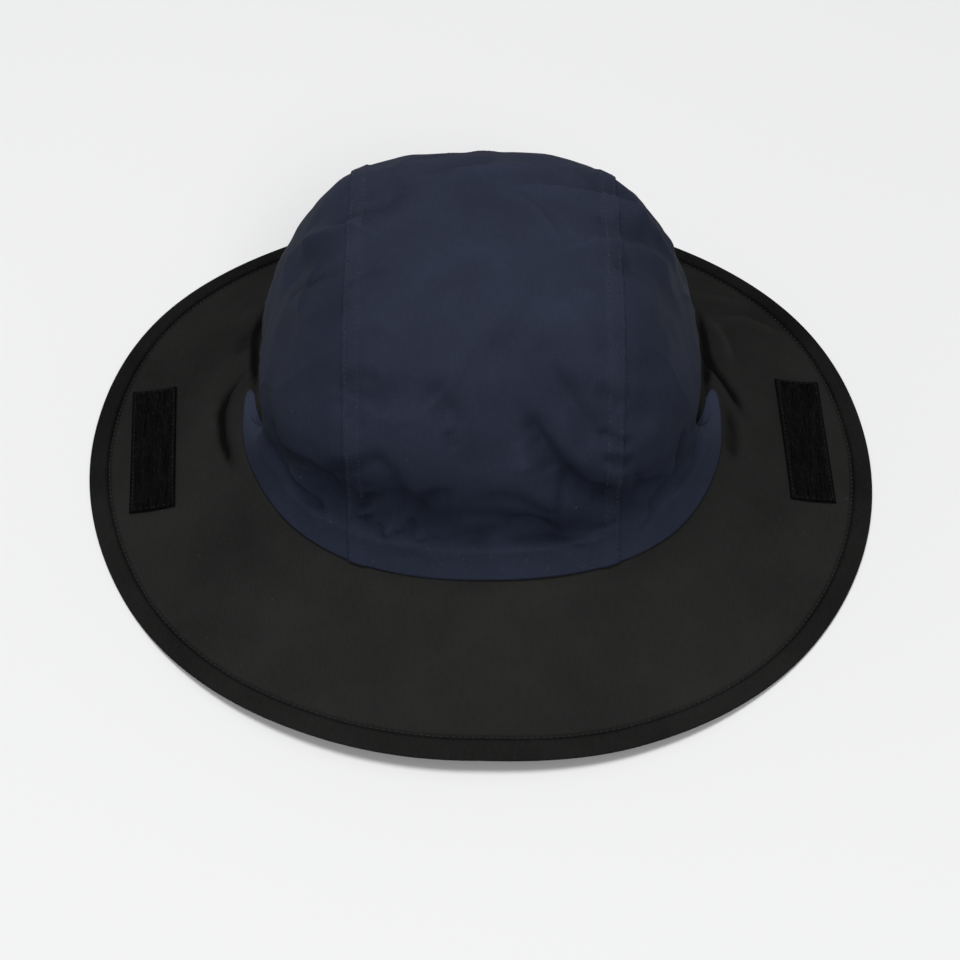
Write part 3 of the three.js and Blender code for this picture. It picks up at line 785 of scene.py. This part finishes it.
def makeCrown():
    points, normals, tone = crownSurface()
    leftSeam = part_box("crown_middle")[0].x / mm
    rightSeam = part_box("crown_middle")[1].x / mm
    lapLow = leftSeam - crown["lapReach"]
    lapHigh = rightSeam + crown["lapReach"]
    x = points[..., 0]
    inside = np.minimum(x - lapLow, lapHigh - x) - crown["lapWidth"]
    rise = crown["lapRise"] * (1 - ease(inside, *crown["lapStep"]))
    lapped = points + normals * rise[..., None]
    lapTone = tone + crown["lapTone"] * rise / crown["lapRise"]
    pieces = []
    far = form["brimWidth"]
    spans = [
        ("crown_middle", lapped, lapTone, lapLow, lapHigh, wrapMiddle),
        ("crown_left", points, tone, -far, lapLow + crown["underlap"], wrapSide),
        ("crown_right", points, tone, lapHigh - crown["underlap"], far, wrapSide),
    ]
    for node, surface, shades, low, high, wrap in spans:
        bm = surfaceMesh(node, surface, shades)
        keepBetween(bm, low, high)
        faceOutwards(bm)
        piece = meshObject(bm, node + "_cloth")
        clothUv(piece, wrap)
        smoothFaces(piece)
        giveWall(piece, crown["clothThickness"])
        piece.data.materials.append(navyCloth)
        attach(piece, "root")
        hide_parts(node)
        pieces.append(piece)
        print(node, "panel:", len(piece.data.polygons), "faces")
    return pieces, (lapLow, lapHigh)


# The brim, with its turned hem

brim = {
    "columns": 600,
    "topRows": 46,
    "hemRows": 12,
    "hemSpread": 1.15,  # above 1, the hem's rows lie closer near its stitches
    "roundRows": 8,
    "hemUnderRows": 6,
    "underRows": 22,
    "innerGap": 0.3,
    "floorGap": 0.02,
    "hemRise": 0.5,  # the hem stands up by this
    "hemStep": (0.3, 1.8),  # between these distances past its stitches
    "stitchSink": 0.5,
    "stitchGroove": 1.1,  # half width of the groove that the hem's stitches draw in
    "rope": 0.16,  # slanting ripples of the turned hem
    "ropePitch": 6.0,
    "ropeSlant": 1.4,
    "ropeWander": 3.0,
    "ropeWanderSize": 33.0,
    "ropeFade": (0.2, 3.0),  # they die away between these distances from the edge
    "waver": 0.5,
    "waverSize": 46.0,
    "waverFade": 25.0,
    "hemFall": 1.1,  # the hem's top rounds down by this to its edge
    "hemFallFrom": 2.5,
    "hemFallPower": 1.5,
    # painted light: the front of the brim is lighter and the back darker
    "frontPaintedLight": 0.14,
    "patchyTone": 0.11,
    "patchySize": 70.0,
    # painted shade on the turned hem
    "hemShade": 0.25,
    "hemShadeStep": (-1.0, 0.5),
    "grooveShade": 0.22,  # painted shade: the dark line in the groove along the hem's stitches, its place and its half width
    "groovePlace": 0.3,
    "grooveWidth": 0.9,
    # painted light and shade on the brim's folds, for each millimetre
    "foldShading": 0.025,
    "footShadeStrength": 0.45,  # painted shade: the brim is darker close to the wall behind the ears
    "footShade": 6.5,
    "footPower": 4,
    "footTurns": (78, 86, 112, 140),  # it comes in over the first two turns and goes over the last two
}


def brimSection():
    # each row is a place across the cloth and a share of its thickness, up to 1 at the top
    half = form["brimThickness"] / 2
    flat = form["hemWidth"] - half
    top = [(k / brim["topRows"], 0.0, 1.0) for k in range(brim["topRows"])]
    hemShares = [(k / brim["hemRows"]) ** brim["hemSpread"] for k in range(brim["hemRows"])]
    hemTop = [(1.0, flat * share, 1.0) for share in hemShares]
    rim = []
    for k in range(brim["roundRows"] + 1):
        angle = math.pi * k / brim["roundRows"]
        rim.append((1.0, flat + half * math.sin(angle), 0.5 + 0.5 * math.cos(angle)))
    underHem = brim["hemUnderRows"]
    hemUnder = [(1.0, flat * (1 - (k + 1) / underHem), 0.0) for k in range(underHem)]
    under = [(1 - (k + 1) / brim["underRows"], 0.0, 0.0) for k in range(brim["underRows"])]
    rows = top + hemTop + rim + hemUnder + under
    return rows + rows[:1]


def hemSwell(places, pastHem, arc):
    # how far the hem stands over the brim's plain cloth
    inHem = ease(pastHem, *brim["hemStep"])
    swell = brim["hemRise"] * inHem
    swell = swell - brim["stitchSink"] * np.exp(-(pastHem / brim["stitchGroove"]) ** 2)
    wander = brim["ropeWander"] * noiseAt(places, brim["ropeWanderSize"])
    ropes = np.sin((arc + pastHem * brim["ropeSlant"] + wander) * 2 * math.pi / brim["ropePitch"])
    fall = ease(pastHem, brim["hemFallFrom"], form["hemWidth"]) ** brim["hemFallPower"]
    swell = swell - brim["hemFall"] * fall
    return swell + brim["rope"] * ropes * inHem * ease(form["hemWidth"] - pastHem, *brim["ropeFade"])


def brimTone(places, pastHem, turns, fromWall):
    # painted light at the front and on ridges; painted shade at the back, on the hem, in its stitch
    # groove, in hollows and by the wall behind the ears; the patchy noise is the cloth's own tone
    flat = places * (1, 1, 0)
    tone = brim["frontPaintedLight"] * np.cos(np.radians(turns))[None]
    tone = tone + brim["patchyTone"] * noiseAt(places, brim["patchySize"], seeds["brimTone"])
    tone = tone - brim["hemShade"] * ease(pastHem, *brim["hemShadeStep"])
    groove = (pastHem - brim["groovePlace"]) / brim["grooveWidth"]
    tone = tone - brim["grooveShade"] * np.exp(-groove ** 2)
    tone = tone + brim["foldShading"] * foldShift(flat, brimFolds, brimSpot, form["brimTaper"])
    tone = tone + foldShift(flat, brimFolds, brimSpot, form["brimTaper"], "tone")
    comes, full, goes, gone = brim["footTurns"]
    behindEars = ease(np.abs(turns), comes, full) * (1 - ease(np.abs(turns), goes, gone))
    shade = np.exp(-(fromWall / brim["footShade"]) ** brim["footPower"])
    return tone - brim["footShadeStrength"] * behindEars[None] * shade


def makeBrim():
    turns = np.linspace(-turnOfBack, turnOfBack, brim["columns"] + 1)
    inner = footReach(turns) + brim["innerGap"]
    hemLine = edgeReach(turns) - form["hemWidth"]
    rows = brimSection()
    places = np.stack([polar(turns, mix(inner, hemLine, share) + out, 0.0) for share, out, _ in rows])
    level = np.array([height for _, _, height in rows])[:, None]
    reach = np.linalg.norm(places[..., :2], axis=-1)
    pastHem = reach - hemLine[None]
    arc = np.radians(turns)[None] * hemLine[None]
    swell = hemSwell(places, pastHem, arc)
    waver = brim["waver"] * noiseAt(places, brim["waverSize"]) * ease(-pastHem, 0, brim["waverFade"])
    z = brimTop(places) + waver + (level - 1) * form["brimThickness"] + swell * level
    places[..., 2] = np.maximum(z, brim["floorGap"])
    tone = brimTone(places, pastHem, turns, reach - inner[None])
    bm = surfaceMesh("brim", places, tone)
    bmesh.ops.recalc_face_normals(bm, faces=bm.faces)
    piece = meshObject(bm, "brim_cloth")
    clothUv(piece, wrapFlat)
    smoothFaces(piece)
    piece.data.materials.append(blackCloth)
    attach(piece, "root")
    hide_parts("brim")
    print("brim:", len(piece.data.polygons), "faces")
    return piece


# Stitches

stitch = {
    "pitch": 2.6,
    "length": 2.0,
    "width": 0.42,
    "height": 0.3,
    "rounds": 6,
    "flareRow": 3.6,  # from the crown's lower edge
    "lapOuter": 1.5,  # from the edge of the lap
    "lapInner": 6.4,
    "patchInset": 1.3,
    "swing": 0.1,  # each one lies a little askew, in radians
    "proud": 0.12,  # share of its height by which its middle stands over the cloth
    "farthest": 4.0,  # none is made where the cloth is farther off than this
    "edgeSteps": 400,
    "hemSteps": 721,
    "lapSteps": 240,
    "lapSpan": (-6, 186),  # degrees over the top, from the front
}
rayReach = 0.3  # rays at the hat start this many metres away from it


def treeOf(*pieces):
    graph = bpy.context.evaluated_depsgraph_get()
    bm = bmesh.new()
    for piece in pieces:
        evaluated = piece.evaluated_get(graph)
        mesh = evaluated.to_mesh()
        bm.from_mesh(mesh)
        evaluated.to_mesh_clear()
    tree = BVHTree.FromBMesh(bm)
    bm.free()
    return tree


def evenSteps(path, pitch):
    path = np.asarray(path, float)
    length = lengthAlong(path)
    count = max(int(length[-1] / pitch), 2)
    steps = np.linspace(0, length[-1], count + 1)
    return np.stack([np.interp(steps, length, path[:, k]) for k in range(3)], -1)


def addMany(bm, makers, batch=40):
    # small pieces are made a few at a time and then joined, which keeps each operator quick
    few = bmesh.new()
    holder = bpy.data.meshes.new("few")
    for index, make in enumerate(makers):
        make(few)
        if (index + 1) % batch == 0 or index + 1 == len(makers):
            few.to_mesh(holder)
            bm.from_mesh(holder)
            few.clear()
    few.free()
    bpy.data.meshes.remove(holder)


def stitchRow(bm, path, tree):
    # one small rounded thread for each step of the path, lying on the cloth
    spots = evenSteps(path, stitch["pitch"])
    size = Matrix.Diagonal((0.5 * stitch["length"] * mm, 0.5 * stitch["width"] * mm,
                            0.5 * stitch["height"] * mm, 1))
    makers = []
    for start, end in zip(spots[:-1], spots[1:]):
        spot = Vector((start + end) / 2) * mm
        on, normal, _, away = tree.find_nearest(spot)
        if on is None or away > stitch["farthest"] * mm:
            continue
        along = Vector(end - start).normalized()
        along = (along - normal * along.dot(normal)).normalized()
        swing = random.uniform(-stitch["swing"], stitch["swing"])
        along = (Matrix.Rotation(swing, 3, normal) @ along).normalized()
        turn = Matrix((along, normal.cross(along), normal)).transposed().to_4x4()
        middle = on + normal * stitch["height"] * mm * stitch["proud"]
        place = Matrix.Translation(middle) @ turn @ size
        makers.append(lambda few, place=place: bmesh.ops.create_uvsphere(
            few, u_segments=stitch["rounds"], v_segments=4, radius=1.0, matrix=place))
    addMany(bm, makers)


def stitchPiece(name, bm, material):
    piece = meshObject(bm, name)
    smoothFaces(piece)
    piece.data.materials.append(material)
    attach(piece, "root")
    print(name, len(piece.data.polygons), "faces")
    return piece


def overCrown(tree, x, angle):
    # where the crown's outside lies at x, at an angle in degrees over the top from the front
    angle = math.radians(angle)
    out = Vector((0, -math.cos(angle), math.sin(angle)))
    start = Vector((x * mm, 0, 0)) + insideCrown + out * rayReach
    return tree.ray_cast(start, -out)


def seamPath(tree, x):
    path = []
    for k in range(stitch["lapSteps"] + 1):
        on, _, _, _ = overCrown(tree, x, mix(*stitch["lapSpan"], k / stitch["lapSteps"]))
        if on is not None:
            path.append(np.array(on) / mm)
    return path


def makeStitches(crownPieces, brimPiece, laps):
    crownTree = treeOf(*crownPieces)
    bm = bmesh.new()
    turns = np.linspace(-form["tuckTurn"] + 1, form["tuckTurn"] - 1, stitch["edgeSteps"])
    edge = seamPlace(turns)
    foot = wallPoint(turns, np.zeros_like(turns))
    edge[:, 2] = brimTop(edge)
    inward = (foot - edge) / np.linalg.norm(foot - edge, axis=-1, keepdims=True)
    stitchRow(bm, edge + inward * stitch["flareRow"], crownTree)
    stitchPiece("crown_edge_stitching", bm, navyThread)

    bm = bmesh.new()
    for x, inward in ((laps[0], 1), (laps[1], -1)):
        for inset in (stitch["lapOuter"], stitch["lapInner"]):
            stitchRow(bm, seamPath(crownTree, x + inward * inset), crownTree)
    stitchPiece("crown_seam_stitching", bm, navyThread)

    brimTree = treeOf(brimPiece)
    bm = bmesh.new()
    turns = np.linspace(-turnOfBack, turnOfBack, stitch["hemSteps"])
    line = polar(turns, edgeReach(turns) - form["hemWidth"], 0.0)
    line[:, 2] = brimTop(line)
    stitchRow(bm, line, brimTree)
    stitchPiece("hem_stitching", bm, blackThread)


# The touch-fastening patches on the brim

patch = {
    "columns": 40,
    "rows": 150,
    "lift": 0.3,
    "thickness": 1.2,
    "edgeFall": 0.7,  # the tape's edges round down by this
    "edgeRound": 0.55,  # over this width
    "rib": 0.35,  # the raised woven edges
    "ribFromEdge": 0.9,
    "ribWidth": 0.5,
    "ribTone": 0.55,
    "streak": 0.22,  # the pile is combed in streaks along the tape
    "streakSize": (0.9, 22.0),
    "streakFade": (0.4, 2.0),
    "streakTone": 0.5,
    "fineStreak": 0.6,
    "fineStreakScale": (2.1, 1.4, 1),
    "piles": 900,
    "pileLength": (1.5, 5.0),
    "pileWidth": 0.07,
    "pileTip": 0.3,  # its width at the tip, as a share
    "pileInset": (2.6, 1.6),
    "pileSwing": 0.2,
    "pileLean": 0.2,
    "pileProud": 0.4,
    "sides": {
        # middle of the patch as a turn, its distance in from the brim's edge, and its twist in plan
        "patch_left": (-91.4, 28.75, 4.8),
        "patch_right": (93.5, 28.75, 0.3),
    },
    "size": (20.5, 76.0),
}


def straightDown(tree, x, y):
    return tree.ray_cast(Vector((x * mm, y * mm, rayReach)), Vector((0, 0, -1)))


def patchFrame(node):
    turn, inset, twist = patch["sides"][node]
    middle = polar(turn, edgeReach(np.float64(turn)) - inset, 0.0)
    angle = math.radians(twist)
    across = np.array((math.cos(angle), math.sin(angle), 0))
    along = np.array((-math.sin(angle), math.cos(angle), 0))
    return middle, across, along


def makePatch(node):
    middle, across, along = patchFrame(node)
    width, length = patch["size"]
    u = np.linspace(-width / 2, width / 2, patch["columns"] + 1)[None, :, None]
    v = np.linspace(-length / 2, length / 2, patch["rows"] + 1)[:, None, None]
    points = middle + u * across + v * along
    height = brimTop(points) + patch["lift"] + patch["thickness"]
    edgeAway = np.minimum(width / 2 - np.abs(u), length / 2 - np.abs(v))[..., 0]
    sideAway = (width / 2 - np.abs(u))[..., 0] + 0 * v[..., 0]
    streakWidth, streakLength = patch["streakSize"]
    flat = np.concatenate([u / streakWidth + 0 * v, v / streakLength + 0 * u, 0 * u + 0 * v], -1)
    fine = noiseAt(flat * patch["fineStreakScale"], 1.0, seeds["streaks"])
    streaks = noiseAt(flat, 1.0) + patch["fineStreak"] * fine
    rib = np.exp(-((sideAway - patch["ribFromEdge"]) / patch["ribWidth"]) ** 2)
    height = height + patch["streak"] * streaks * ease(edgeAway, *patch["streakFade"])
    height = height + patch["rib"] * rib
    height = height - patch["edgeFall"] * (1 - ease(edgeAway, 0, patch["edgeRound"]))
    points[..., 2] = height
    tone = patch["ribTone"] * rib + patch["streakTone"] * streaks
    bm = surfaceMesh(node, points, tone)
    faceUp = sum(f.normal.z for f in bm.faces)
    if faceUp < 0:
        bmesh.ops.reverse_faces(bm, faces=bm.faces)
    piece = meshObject(bm, node + "_tape")
    clothUv(piece, lambda spots: np.stack([(spots - middle) @ across, (spots - middle) @ along], -1))
    smoothFaces(piece)
    giveWall(piece, patch["thickness"])
    piece.data.materials.append(patchTape)
    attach(piece, "root")
    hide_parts(node)

    # loose fibres of the pile, mostly along the tape
    tree = treeOf(piece)
    bm = bmesh.new()
    makers = []
    sideInset, endInset = patch["pileInset"]
    for _ in range(patch["piles"]):
        a = random.uniform(-0.5, 0.5) * (width - sideInset)
        b = random.uniform(-0.5, 0.5) * (length - endInset)
        spot = middle + a * across + b * along
        on, normal, _, _ = straightDown(tree, spot[0], spot[1])
        if on is None:
            continue
        swing = random.gauss(0, patch["pileSwing"])
        lean = random.uniform(0.0, patch["pileLean"])
        flat = Vector(along * math.cos(swing) + across * math.sin(swing)) * random.choice((-1, 1))
        way = (flat + normal * lean).normalized()
        size = random.uniform(*patch["pileLength"]) * mm
        turn = way.to_track_quat("Z", "Y").to_matrix().to_4x4()
        place = Matrix.Translation(on + way * size * patch["pileProud"]) @ turn
        makers.append(lambda few, place=place, size=size: bmesh.ops.create_cone(
            few, cap_ends=True, segments=3, radius1=patch["pileWidth"] * mm,
            radius2=patch["pileWidth"] * mm * patch["pileTip"], depth=size, matrix=place))
    addMany(bm, makers)
    stitchPiece(node + "_pile", bm, patchFibre)

    bm = bmesh.new()
    inset = stitch["patchInset"]
    corners = [(-1, -1), (1, -1), (1, 1), (-1, 1), (-1, -1)]
    toSide = (width / 2 - inset) * across
    toEnd = (length / 2 - inset) * along
    path = [middle + s * toSide + t * toEnd for s, t in corners]
    outline = np.concatenate([np.linspace(a, b, 40) for a, b in zip(path[:-1], path[1:])])
    outline[:, 2] = brimTop(outline) + patch["lift"] + patch["thickness"]
    stitchRow(bm, outline, tree)
    stitchPiece(node + "_stitching", bm, patchFibre)


# Lint that clings to the cloth

lint = {
    "onCrown": 150,
    "onSeams": 60,
    "onBrim": 50,
    "size": (0.16, 0.4),
    "stretch": 2.25,  # the longest is this many times as long as wide
    "proud": 0.1,
    "edgeTurns": 78,
    "edgeInward": (1.0, 3.6, 3.6, 7.0),  # distances from the crown's edge that they gather at
    "edgeSpread": 0.8,
    "leastInward": 0.4,
    "seamSpread": 0.5,
    "seamSpan": (-5, 120),
    "brimReach": (112, 170),
}


def makeLint(crownPieces, brimPiece, laps):
    crownTree = treeOf(*crownPieces)
    brimTree = treeOf(brimPiece)
    makers = []

    def speck(on, normal):
        width = random.uniform(*lint["size"]) * mm
        length = width * random.uniform(1.0, lint["stretch"])
        turn = normal.to_track_quat("Z", "Y").to_matrix().to_4x4()
        turn = turn @ Matrix.Rotation(random.uniform(0, math.pi), 4, "Z")
        size = Matrix.Diagonal((length / 2, width / 2, width / 4, 1))
        place = Matrix.Translation(on + normal * width * lint["proud"]) @ turn @ size
        makers.append(lambda few: bmesh.ops.create_icosphere(
            few, subdivisions=1, radius=1.0, matrix=place))

    def drop(tree, x, y):
        on, normal, _, _ = straightDown(tree, x, y)
        if on is not None:
            speck(on, normal)

    for _ in range(lint["onCrown"]):
        turn = random.uniform(-lint["edgeTurns"], lint["edgeTurns"])
        edge = seamPlace(np.float64(turn))
        inward = random.choice(lint["edgeInward"]) + random.gauss(0, lint["edgeSpread"])
        share = 1 - max(inward, lint["leastInward"]) / np.linalg.norm(edge)
        drop(crownTree, edge[0] * share, edge[1] * share)
    for _ in range(lint["onSeams"]):
        lap, side = random.choice(((laps[0], 1), (laps[1], -1)))
        inset = random.choice((stitch["lapOuter"], stitch["lapInner"]))
        x = lap + side * inset + random.gauss(0, lint["seamSpread"])
        on, normal, _, _ = overCrown(crownTree, x, random.uniform(*lint["seamSpan"]))
        if on is not None:
            speck(on, normal)
    for _ in range(lint["onBrim"]):
        turn = random.uniform(-turnOfBack, turnOfBack)
        place = polar(turn, random.uniform(*lint["brimReach"]), 0.0)
        drop(brimTree, place[0], place[1])
    bm = bmesh.new()
    addMany(bm, makers)
    stitchPiece("lint_specks", bm, paleLint)


# Materials

weave = {
    "middle": 0.4,  # the mean height of the crossing threads
    "slubStretch": (1.0, 0.12, 1.0),
    "roughSpread": 0.16,
    "bumpDepth": 0.0004,
}
fibre = {
    "darkTo": 0.3,
    "lightFrom": 0.75,
    "specular": 0.15,
    "bump": 0.4,
    "bumpDepth": 0.0001,
}


def colourRamp(put, dark, light, low=0.0, high=1.0):
    ramp = put("ShaderNodeValToRGB")
    for element, position, colour in zip(ramp.color_ramp.elements, (low, high), (dark, light)):
        element.position = position
        element.color = (*colour, 1)
    return ramp


def clothMaterial(name, look):
    # threads that cross over and under, in the UV map's metres, with soft changes of colour
    material, links, put = newMaterial(name)
    uv = put("ShaderNodeUVMap", uv_map="weave")
    split = put("ShaderNodeSeparateXYZ")
    links.new(uv.outputs[0], split.inputs[0])

    def calc(kind, a, b=None):
        node = put("ShaderNodeMath", operation=kind)
        for index, value in enumerate((a, b)):
            if value is None:
                continue
            if isinstance(value, (int, float)):
                node.inputs[index].default_value = value
            else:
                links.new(value, node.inputs[index])
        return node.outputs[0]

    rate = math.pi / (look["thread"] * mm)
    warp = calc("SINE", calc("MULTIPLY", split.outputs[0], rate))
    weft = calc("SINE", calc("MULTIPLY", split.outputs[1], rate))
    crossing = calc("MULTIPLY", warp, weft)
    weaveHeight = calc("ABSOLUTE", crossing)

    place = put("ShaderNodeTexCoord")
    broad = put("ShaderNodeTexNoise", Scale=look["broadScale"], Detail=3.0, Roughness=0.55)
    fine = put("ShaderNodeTexNoise", Scale=look["fineScale"], Detail=4.0, Roughness=0.65)
    slub = put("ShaderNodeTexNoise", Scale=look["slubScale"], Detail=2.0, Roughness=0.5)
    stretch = put("ShaderNodeMapping")
    stretch.inputs["Scale"].default_value = weave["slubStretch"]
    links.new(place.outputs["Object"], broad.inputs["Vector"])
    links.new(place.outputs["Object"], fine.inputs["Vector"])
    links.new(uv.outputs[0], stretch.inputs["Vector"])
    links.new(stretch.outputs[0], slub.inputs["Vector"])

    shade = calc("MULTIPLY_ADD", broad.outputs["Fac"], look["broadShade"])
    shade.node.inputs[2].default_value = 0.5 - 0.5 * look["broadShade"]
    layers = [
        (fine.outputs["Fac"], 0.5, "fineShade"),
        (slub.outputs["Fac"], 0.5, "slubShade"),
        (weaveHeight, weave["middle"], "weaveShade"),
    ]
    for value, mean, strength in layers:
        shade = calc("ADD", shade, calc("MULTIPLY", calc("SUBTRACT", value, mean), look[strength]))
    tone = put("ShaderNodeAttribute", attribute_name="tone")
    shade = calc("ADD", shade, tone.outputs["Fac"])
    ramp = colourRamp(put, look["dark"], look["light"])
    links.new(shade, ramp.inputs[0])

    height = calc("MULTIPLY", weaveHeight, look["weaveBump"])
    height = calc("ADD", height, calc("MULTIPLY", fine.outputs["Fac"], look["fineBump"]))
    height = calc("ADD", height, calc("MULTIPLY", slub.outputs["Fac"], look["slubBump"]))
    bump = put("ShaderNodeBump", Strength=look["bump"], Distance=weave["bumpDepth"])
    links.new(height, bump.inputs["Height"])

    shader = put("ShaderNodeBsdfPrincipled", Metallic=0.0)
    shader.inputs["Specular IOR Level"].default_value = look["specular"]
    rough = calc("MULTIPLY_ADD", fine.outputs["Fac"], weave["roughSpread"])
    rough.node.inputs[2].default_value = look["roughness"] - 0.5 * weave["roughSpread"]
    links.new(rough, shader.inputs["Roughness"])
    links.new(ramp.outputs["Color"], shader.inputs["Base Color"])
    links.new(bump.outputs[0], shader.inputs["Normal"])
    links.new(shader.outputs[0], put("ShaderNodeOutputMaterial").inputs[0])
    return material


def threadMaterial(name, look):
    material, links, put = newMaterial(name)
    place = put("ShaderNodeTexCoord")
    grain = put("ShaderNodeTexNoise", Scale=look["scale"], Detail=3.0)
    links.new(place.outputs["Object"], grain.inputs["Vector"])
    ramp = colourRamp(put, look["dark"], look["light"], fibre["darkTo"], fibre["lightFrom"])
    links.new(grain.outputs["Fac"], ramp.inputs[0])
    shader = put("ShaderNodeBsdfPrincipled", Metallic=0.0, Roughness=look["roughness"])
    shader.inputs["Sheen Weight"].default_value = look["sheen"]
    shader.inputs["Specular IOR Level"].default_value = fibre["specular"]
    links.new(ramp.outputs["Color"], shader.inputs["Base Color"])
    bump = put("ShaderNodeBump", Strength=fibre["bump"], Distance=fibre["bumpDepth"])
    links.new(grain.outputs["Fac"], bump.inputs["Height"])
    links.new(bump.outputs[0], shader.inputs["Normal"])
    links.new(shader.outputs[0], put("ShaderNodeOutputMaterial").inputs[0])
    return material


navyCloth = clothMaterial("navy cloth", {
    "dark": (0.0094, 0.0119, 0.0222), "light": (0.0290, 0.0358, 0.0610),
    "thread": 0.5, "broadScale": 36.0, "fineScale": 900.0, "slubScale": 1500.0,
    "broadShade": 0.6, "fineShade": 0.4, "slubShade": 0.3, "weaveShade": 0.18,
    "weaveBump": 0.6, "fineBump": 0.5, "slubBump": 0.3, "bump": 0.35,
    "specular": 0.06, "roughness": 0.75,
})
blackCloth = clothMaterial("black cloth", {
    "dark": (0.0030, 0.0030, 0.0029), "light": (0.0284, 0.0283, 0.0273),
    "thread": 0.55, "broadScale": 28.0, "fineScale": 800.0, "slubScale": 1300.0,
    "broadShade": 0.45, "fineShade": 0.3, "slubShade": 0.22, "weaveShade": 0.13,
    "weaveBump": 0.6, "fineBump": 0.6, "slubBump": 0.3, "bump": 0.35,
    "specular": 0.04, "roughness": 0.88,
})
patchTape = clothMaterial("patch tape", {
    "dark": (0.0012, 0.0012, 0.0012), "light": (0.0056, 0.0056, 0.0056),
    "thread": 0.45, "broadScale": 60.0, "fineScale": 1500.0, "slubScale": 900.0,
    "broadShade": 0.4, "fineShade": 0.7, "slubShade": 0.9, "weaveShade": 0.2,
    "weaveBump": 0.4, "fineBump": 0.8, "slubBump": 0.8, "bump": 0.6,
    "specular": 0.01, "roughness": 0.95,
})
navyThread = threadMaterial("navy thread", {
    "dark": (0.010, 0.012, 0.019), "light": (0.028, 0.032, 0.045), "scale": 900.0,
    "roughness": 0.55, "sheen": 0.1})
blackThread = threadMaterial("black thread", {
    "dark": (0.006, 0.006, 0.006), "light": (0.026, 0.026, 0.025), "scale": 900.0,
    "roughness": 0.6, "sheen": 0.1})
patchFibre = threadMaterial("patch fibre", {
    "dark": (0.002, 0.002, 0.002), "light": (0.022, 0.022, 0.022), "scale": 400.0,
    "roughness": 0.8, "sheen": 0.0})
paleLint = threadMaterial("pale lint", {
    "dark": (0.04, 0.04, 0.045), "light": (0.14, 0.14, 0.15), "scale": 300.0,
    "roughness": 0.9, "sheen": 0.0})


# Putting it together

makeCamera()
makeLights()
makeFloor()
print("camera, lights and floor set")
crownPieces, laps = makeCrown()
brimPiece = makeBrim()
makeStitches(crownPieces, brimPiece, laps)
for node in patch["sides"]:
    makePatch(node)
makeLint(crownPieces, brimPiece, laps)
bpy.context.scene.view_settings.view_transform = "Standard"


bpy.context.view_layer.update()
